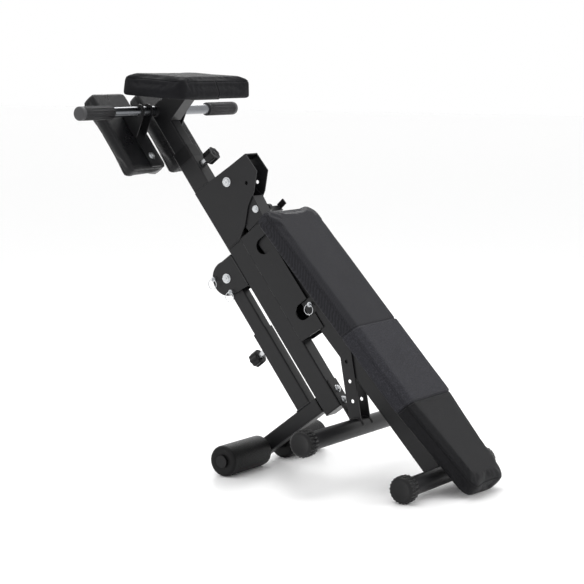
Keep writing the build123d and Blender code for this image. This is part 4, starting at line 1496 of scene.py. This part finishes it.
class CHAIR_OT_welds(bpy.types.Operator):
    """Lay the weld beads where tubes and plates meet"""
    bl_idname = "chair.welds"
    bl_label = "Weld Beads"

    def execute(self, context):
        sizes = hardware()
        for body, lines in self.lines().items():
            verts, edges = loop_edges(lines, closed=False)
            name = body + "_welds"
            beads = grown(name, TREES["beads"], verts, edges, {
                "Spacing": sizes.weld_ripple, "Width": sizes.weld_width,
                "Length": sizes.weld_ripple * 1.7, "Variation": 0.12, "Seed": 11,
                "Material": FINISH["weld"],
            })
            wear(beads, FINISH["weld"], body)
        return {"FINISHED"}

    def lines(self):
        """Weld lines of each body."""
        return {
            "bench": self.bench_lines(), "post": self.post_lines(),
            "hip_carriage": self.hip_lines(), "roller_carriage": self.foot_lines(),
        }

    def bench_lines(self):
        tube_low, tube_high = BENCH.span("rear_stabilizer")
        radius = (tube_high.x - tube_low.x) / 2
        rail_low, rail_high = BENCH.span("rail")
        centre = (tube_low + tube_high) / 2
        lines = []
        for side in (rail_low.y, rail_high.y):
            arc = []
            for i in range(25):
                across = tube_low.z + 1 * MM + (rail_high.z - tube_low.z - 1 * MM) * i / 24
                back = max(0, radius ** 2 - (across - centre.z) ** 2) ** 0.5
                arc.append(BENCH.at(centre.x - back, side, across))
            lines.append(arc)
        lines.append([lines[0][-1], lines[1][-1]])
        for ear in ("rail_ear_near", "rail_ear_far"):
            low, high = BENCH.span(ear)
            side = low.y if low.y < 0 else high.y
            edge = high.x + 0.5 * MM
            lines.append(straight(
                BENCH, (edge, side * 0.9, rail_low.z + 7 * MM), (edge, side * 0.9, 3 * MM)
            ))
        return lines

    def post_lines(self):
        lines = []
        post_low, post_high = POST.span("post_tube")
        clevis_high = POST.span("clevis")[1]
        hook_low, hook_high = POST.span("hook_channel")
        gusset_low, gusset_high = POST.span("gusset_near")
        back, face = post_low.z, post_high.z
        weld_end = clevis_high.x - 6 * MM
        weld_start = weld_end - 90 * MM
        for side in (post_low.y, post_high.y):
            inner = side * 0.98
            lines.append(straight(
                POST, (weld_start, inner, back), (weld_end, inner, back)
            ))
            runs = 5
            pitch = (hook_high.x - hook_low.x) / runs
            for i in range(runs):
                begin = hook_low.x + pitch * (i + 0.25)
                lines.append(straight(
                    POST, (begin, side * 1.08, face - 0.5 * MM),
                    (begin + pitch * 0.5, side * 1.08, face - 0.5 * MM),
                ))
            lip = side * 1.02
            lines.append(straight(
                POST, (gusset_low.x - 0.5 * MM, lip, back + 5 * MM),
                (gusset_low.x - 0.5 * MM, lip, face - 8 * MM),
            ))
            lines.append(straight(
                POST, (gusset_high.x + 0.5 * MM, lip, back + 7 * MM),
                (gusset_high.x + 0.5 * MM, lip, face - 3 * MM),
            ))
        x, z = cross_axis("front_stabilizer")
        low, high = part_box("front_stabilizer")
        radius = (high[0] - low[0]) / 2
        upward = atan2(BENCH.out.z, BENCH.out.x)
        for prop in ("prop_near", "prop_far"):
            inner, outer = (abs(p[1]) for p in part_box(prop))
            way = -1 if prop == "prop_near" else 1
            for y in (min(inner, outer), max(inner, outer)):
                lines.append(circle_about(x, way * y, z, radius, upward - 0.35, 1.5, 20))
        low, high = POST.span("post_barrel")
        middle = (low + high) / 2
        lines.append(self.ring(POST, middle.x, low.z, 10 * MM))
        return lines

    def ring(self, member, along, across, radius):
        """A circle on a member's face."""
        return [
            member.at(along + radius * cos(a), radius * sin(a), across)
            for a in [2 * pi * i / 24 for i in range(25)]
        ]

    def hip_lines(self):
        x, z = cross_axis("handlebar")
        low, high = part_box("handlebar")
        radius = (high[0] - low[0]) / 2 + 0.5 * MM
        lines = []
        for node in ("hip_bracket_near", "hip_bracket_far", "saddle"):
            low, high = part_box(node)
            for y in (low[1], high[1]):
                lines.append(circle_about(x, y, z, radius))
        return lines

    def foot_lines(self):
        low, high = POST.span("arm_slider")
        end = high.x
        corners = [
            (end, low.y, low.z), (end, high.y, low.z), (end, high.y, high.z),
            (end, low.y, high.z), (end, low.y, low.z),
        ]
        lines = [[POST.at(*corner) for corner in corners]]
        barrel_low, barrel_high = POST.span("arm_barrel")
        middle = (barrel_low + barrel_high) / 2
        lines.append(self.ring(POST, middle.x, barrel_high.z, 10 * MM))
        return lines


class CHAIR_OT_studio(bpy.types.Operator):
    """Set up the floor, the soft light and the camera"""
    bl_idname = "chair.studio"
    bl_label = "Studio"

    def execute(self, context):
        scene = context.scene
        scene.view_settings.view_transform = "Standard"
        size = 30
        corners = [(-size, -size, 0), (size, -size, 0), (size, size, 0), (-size, size, 0)]
        floor = new_object("studio_floor", mesh_from("studio_floor", corners, [(0, 1, 2, 3)]))
        floor.data.materials.append(studio_floor(look()))
        world = bpy.data.worlds.new("studio")
        world.use_nodes = True
        sky = world.node_tree.nodes["Background"]
        sky.inputs["Color"].default_value = (1, 1, 1, 1)
        sky.inputs["Strength"].default_value = 1.0
        scene.world = world
        for name, spot, reach, power in (
            ("overhead_box", (-0.6, 0.4, 3.2), 2.6, 45), ("side_box", (3.2, 1.6, 2.2), 1.8, 25),
            ("back_box", (-2.4, 2.6, 2.4), 1.8, 30),
        ):
            lamp = bpy.data.lights.new(name, "AREA")
            lamp.shape = "SQUARE"
            lamp.size = reach
            lamp.energy = power
            holder = bpy.data.objects.new(name, lamp)
            scene.collection.objects.link(holder)
            holder.matrix_world = aimed(spot, Vector(spot) - Vector((0, 0, 0.5)))
        lens = bpy.data.cameras.new("main_camera")
        lens.sensor_width = 36
        lens.lens = 111.4
        camera = bpy.data.objects.new("main_camera", lens)
        scene.collection.objects.link(camera)
        target = Vector((-0.0117, 0, 0.4945))
        swing, pitch, distance = radians(34.33), radians(7.31), 5.074
        away = Vector((sin(swing) * cos(pitch), -cos(swing) * cos(pitch), sin(pitch)))
        camera.matrix_world = aimed(target + away * distance, away)
        scene.camera = camera
        return {"FINISHED"}


class CHAIR_PT_panel(bpy.types.Panel):
    """Buttons for the whole machine"""
    bl_label = "Roman Chair"
    bl_idname = "CHAIR_PT_panel"
    bl_space_type = "VIEW_3D"
    bl_region_type = "UI"
    bl_category = "Roman Chair"

    def draw(self, context):
        for step in STEPS:
            self.layout.operator("chair." + step)


GROUPS = {
    "chair_look": ChairLook, "chair_pads": ChairPads, "chair_sewing": ChairSewing,
    "chair_hardware": ChairHardware,
}
OPERATORS = (
    CHAIR_OT_studio, CHAIR_OT_finishes, CHAIR_OT_steelwork, CHAIR_OT_bench_pad,
    CHAIR_OT_hip_pads, CHAIR_OT_top_pad, CHAIR_OT_rollers, CHAIR_OT_grips,
    CHAIR_OT_floor_caps, CHAIR_OT_knobs, CHAIR_OT_fasteners, CHAIR_OT_welds,
)
STEPS = [operator.bl_idname.split(".")[1] for operator in OPERATORS]


def register():
    for kind in (*GROUPS.values(), *OPERATORS, CHAIR_PT_panel):
        bpy.utils.register_class(kind)
    for name, group in GROUPS.items():
        setattr(bpy.types.Scene, name, PointerProperty(type=group))


def unregister():
    for name in GROUPS:
        delattr(bpy.types.Scene, name)
    for kind in (CHAIR_PT_panel, *reversed(OPERATORS), *reversed(GROUPS.values())):
        bpy.utils.unregister_class(kind)


def main():
    register()
    for step in STEPS:
        getattr(bpy.ops.chair, step)()


if __name__ == "__main__":
    main()
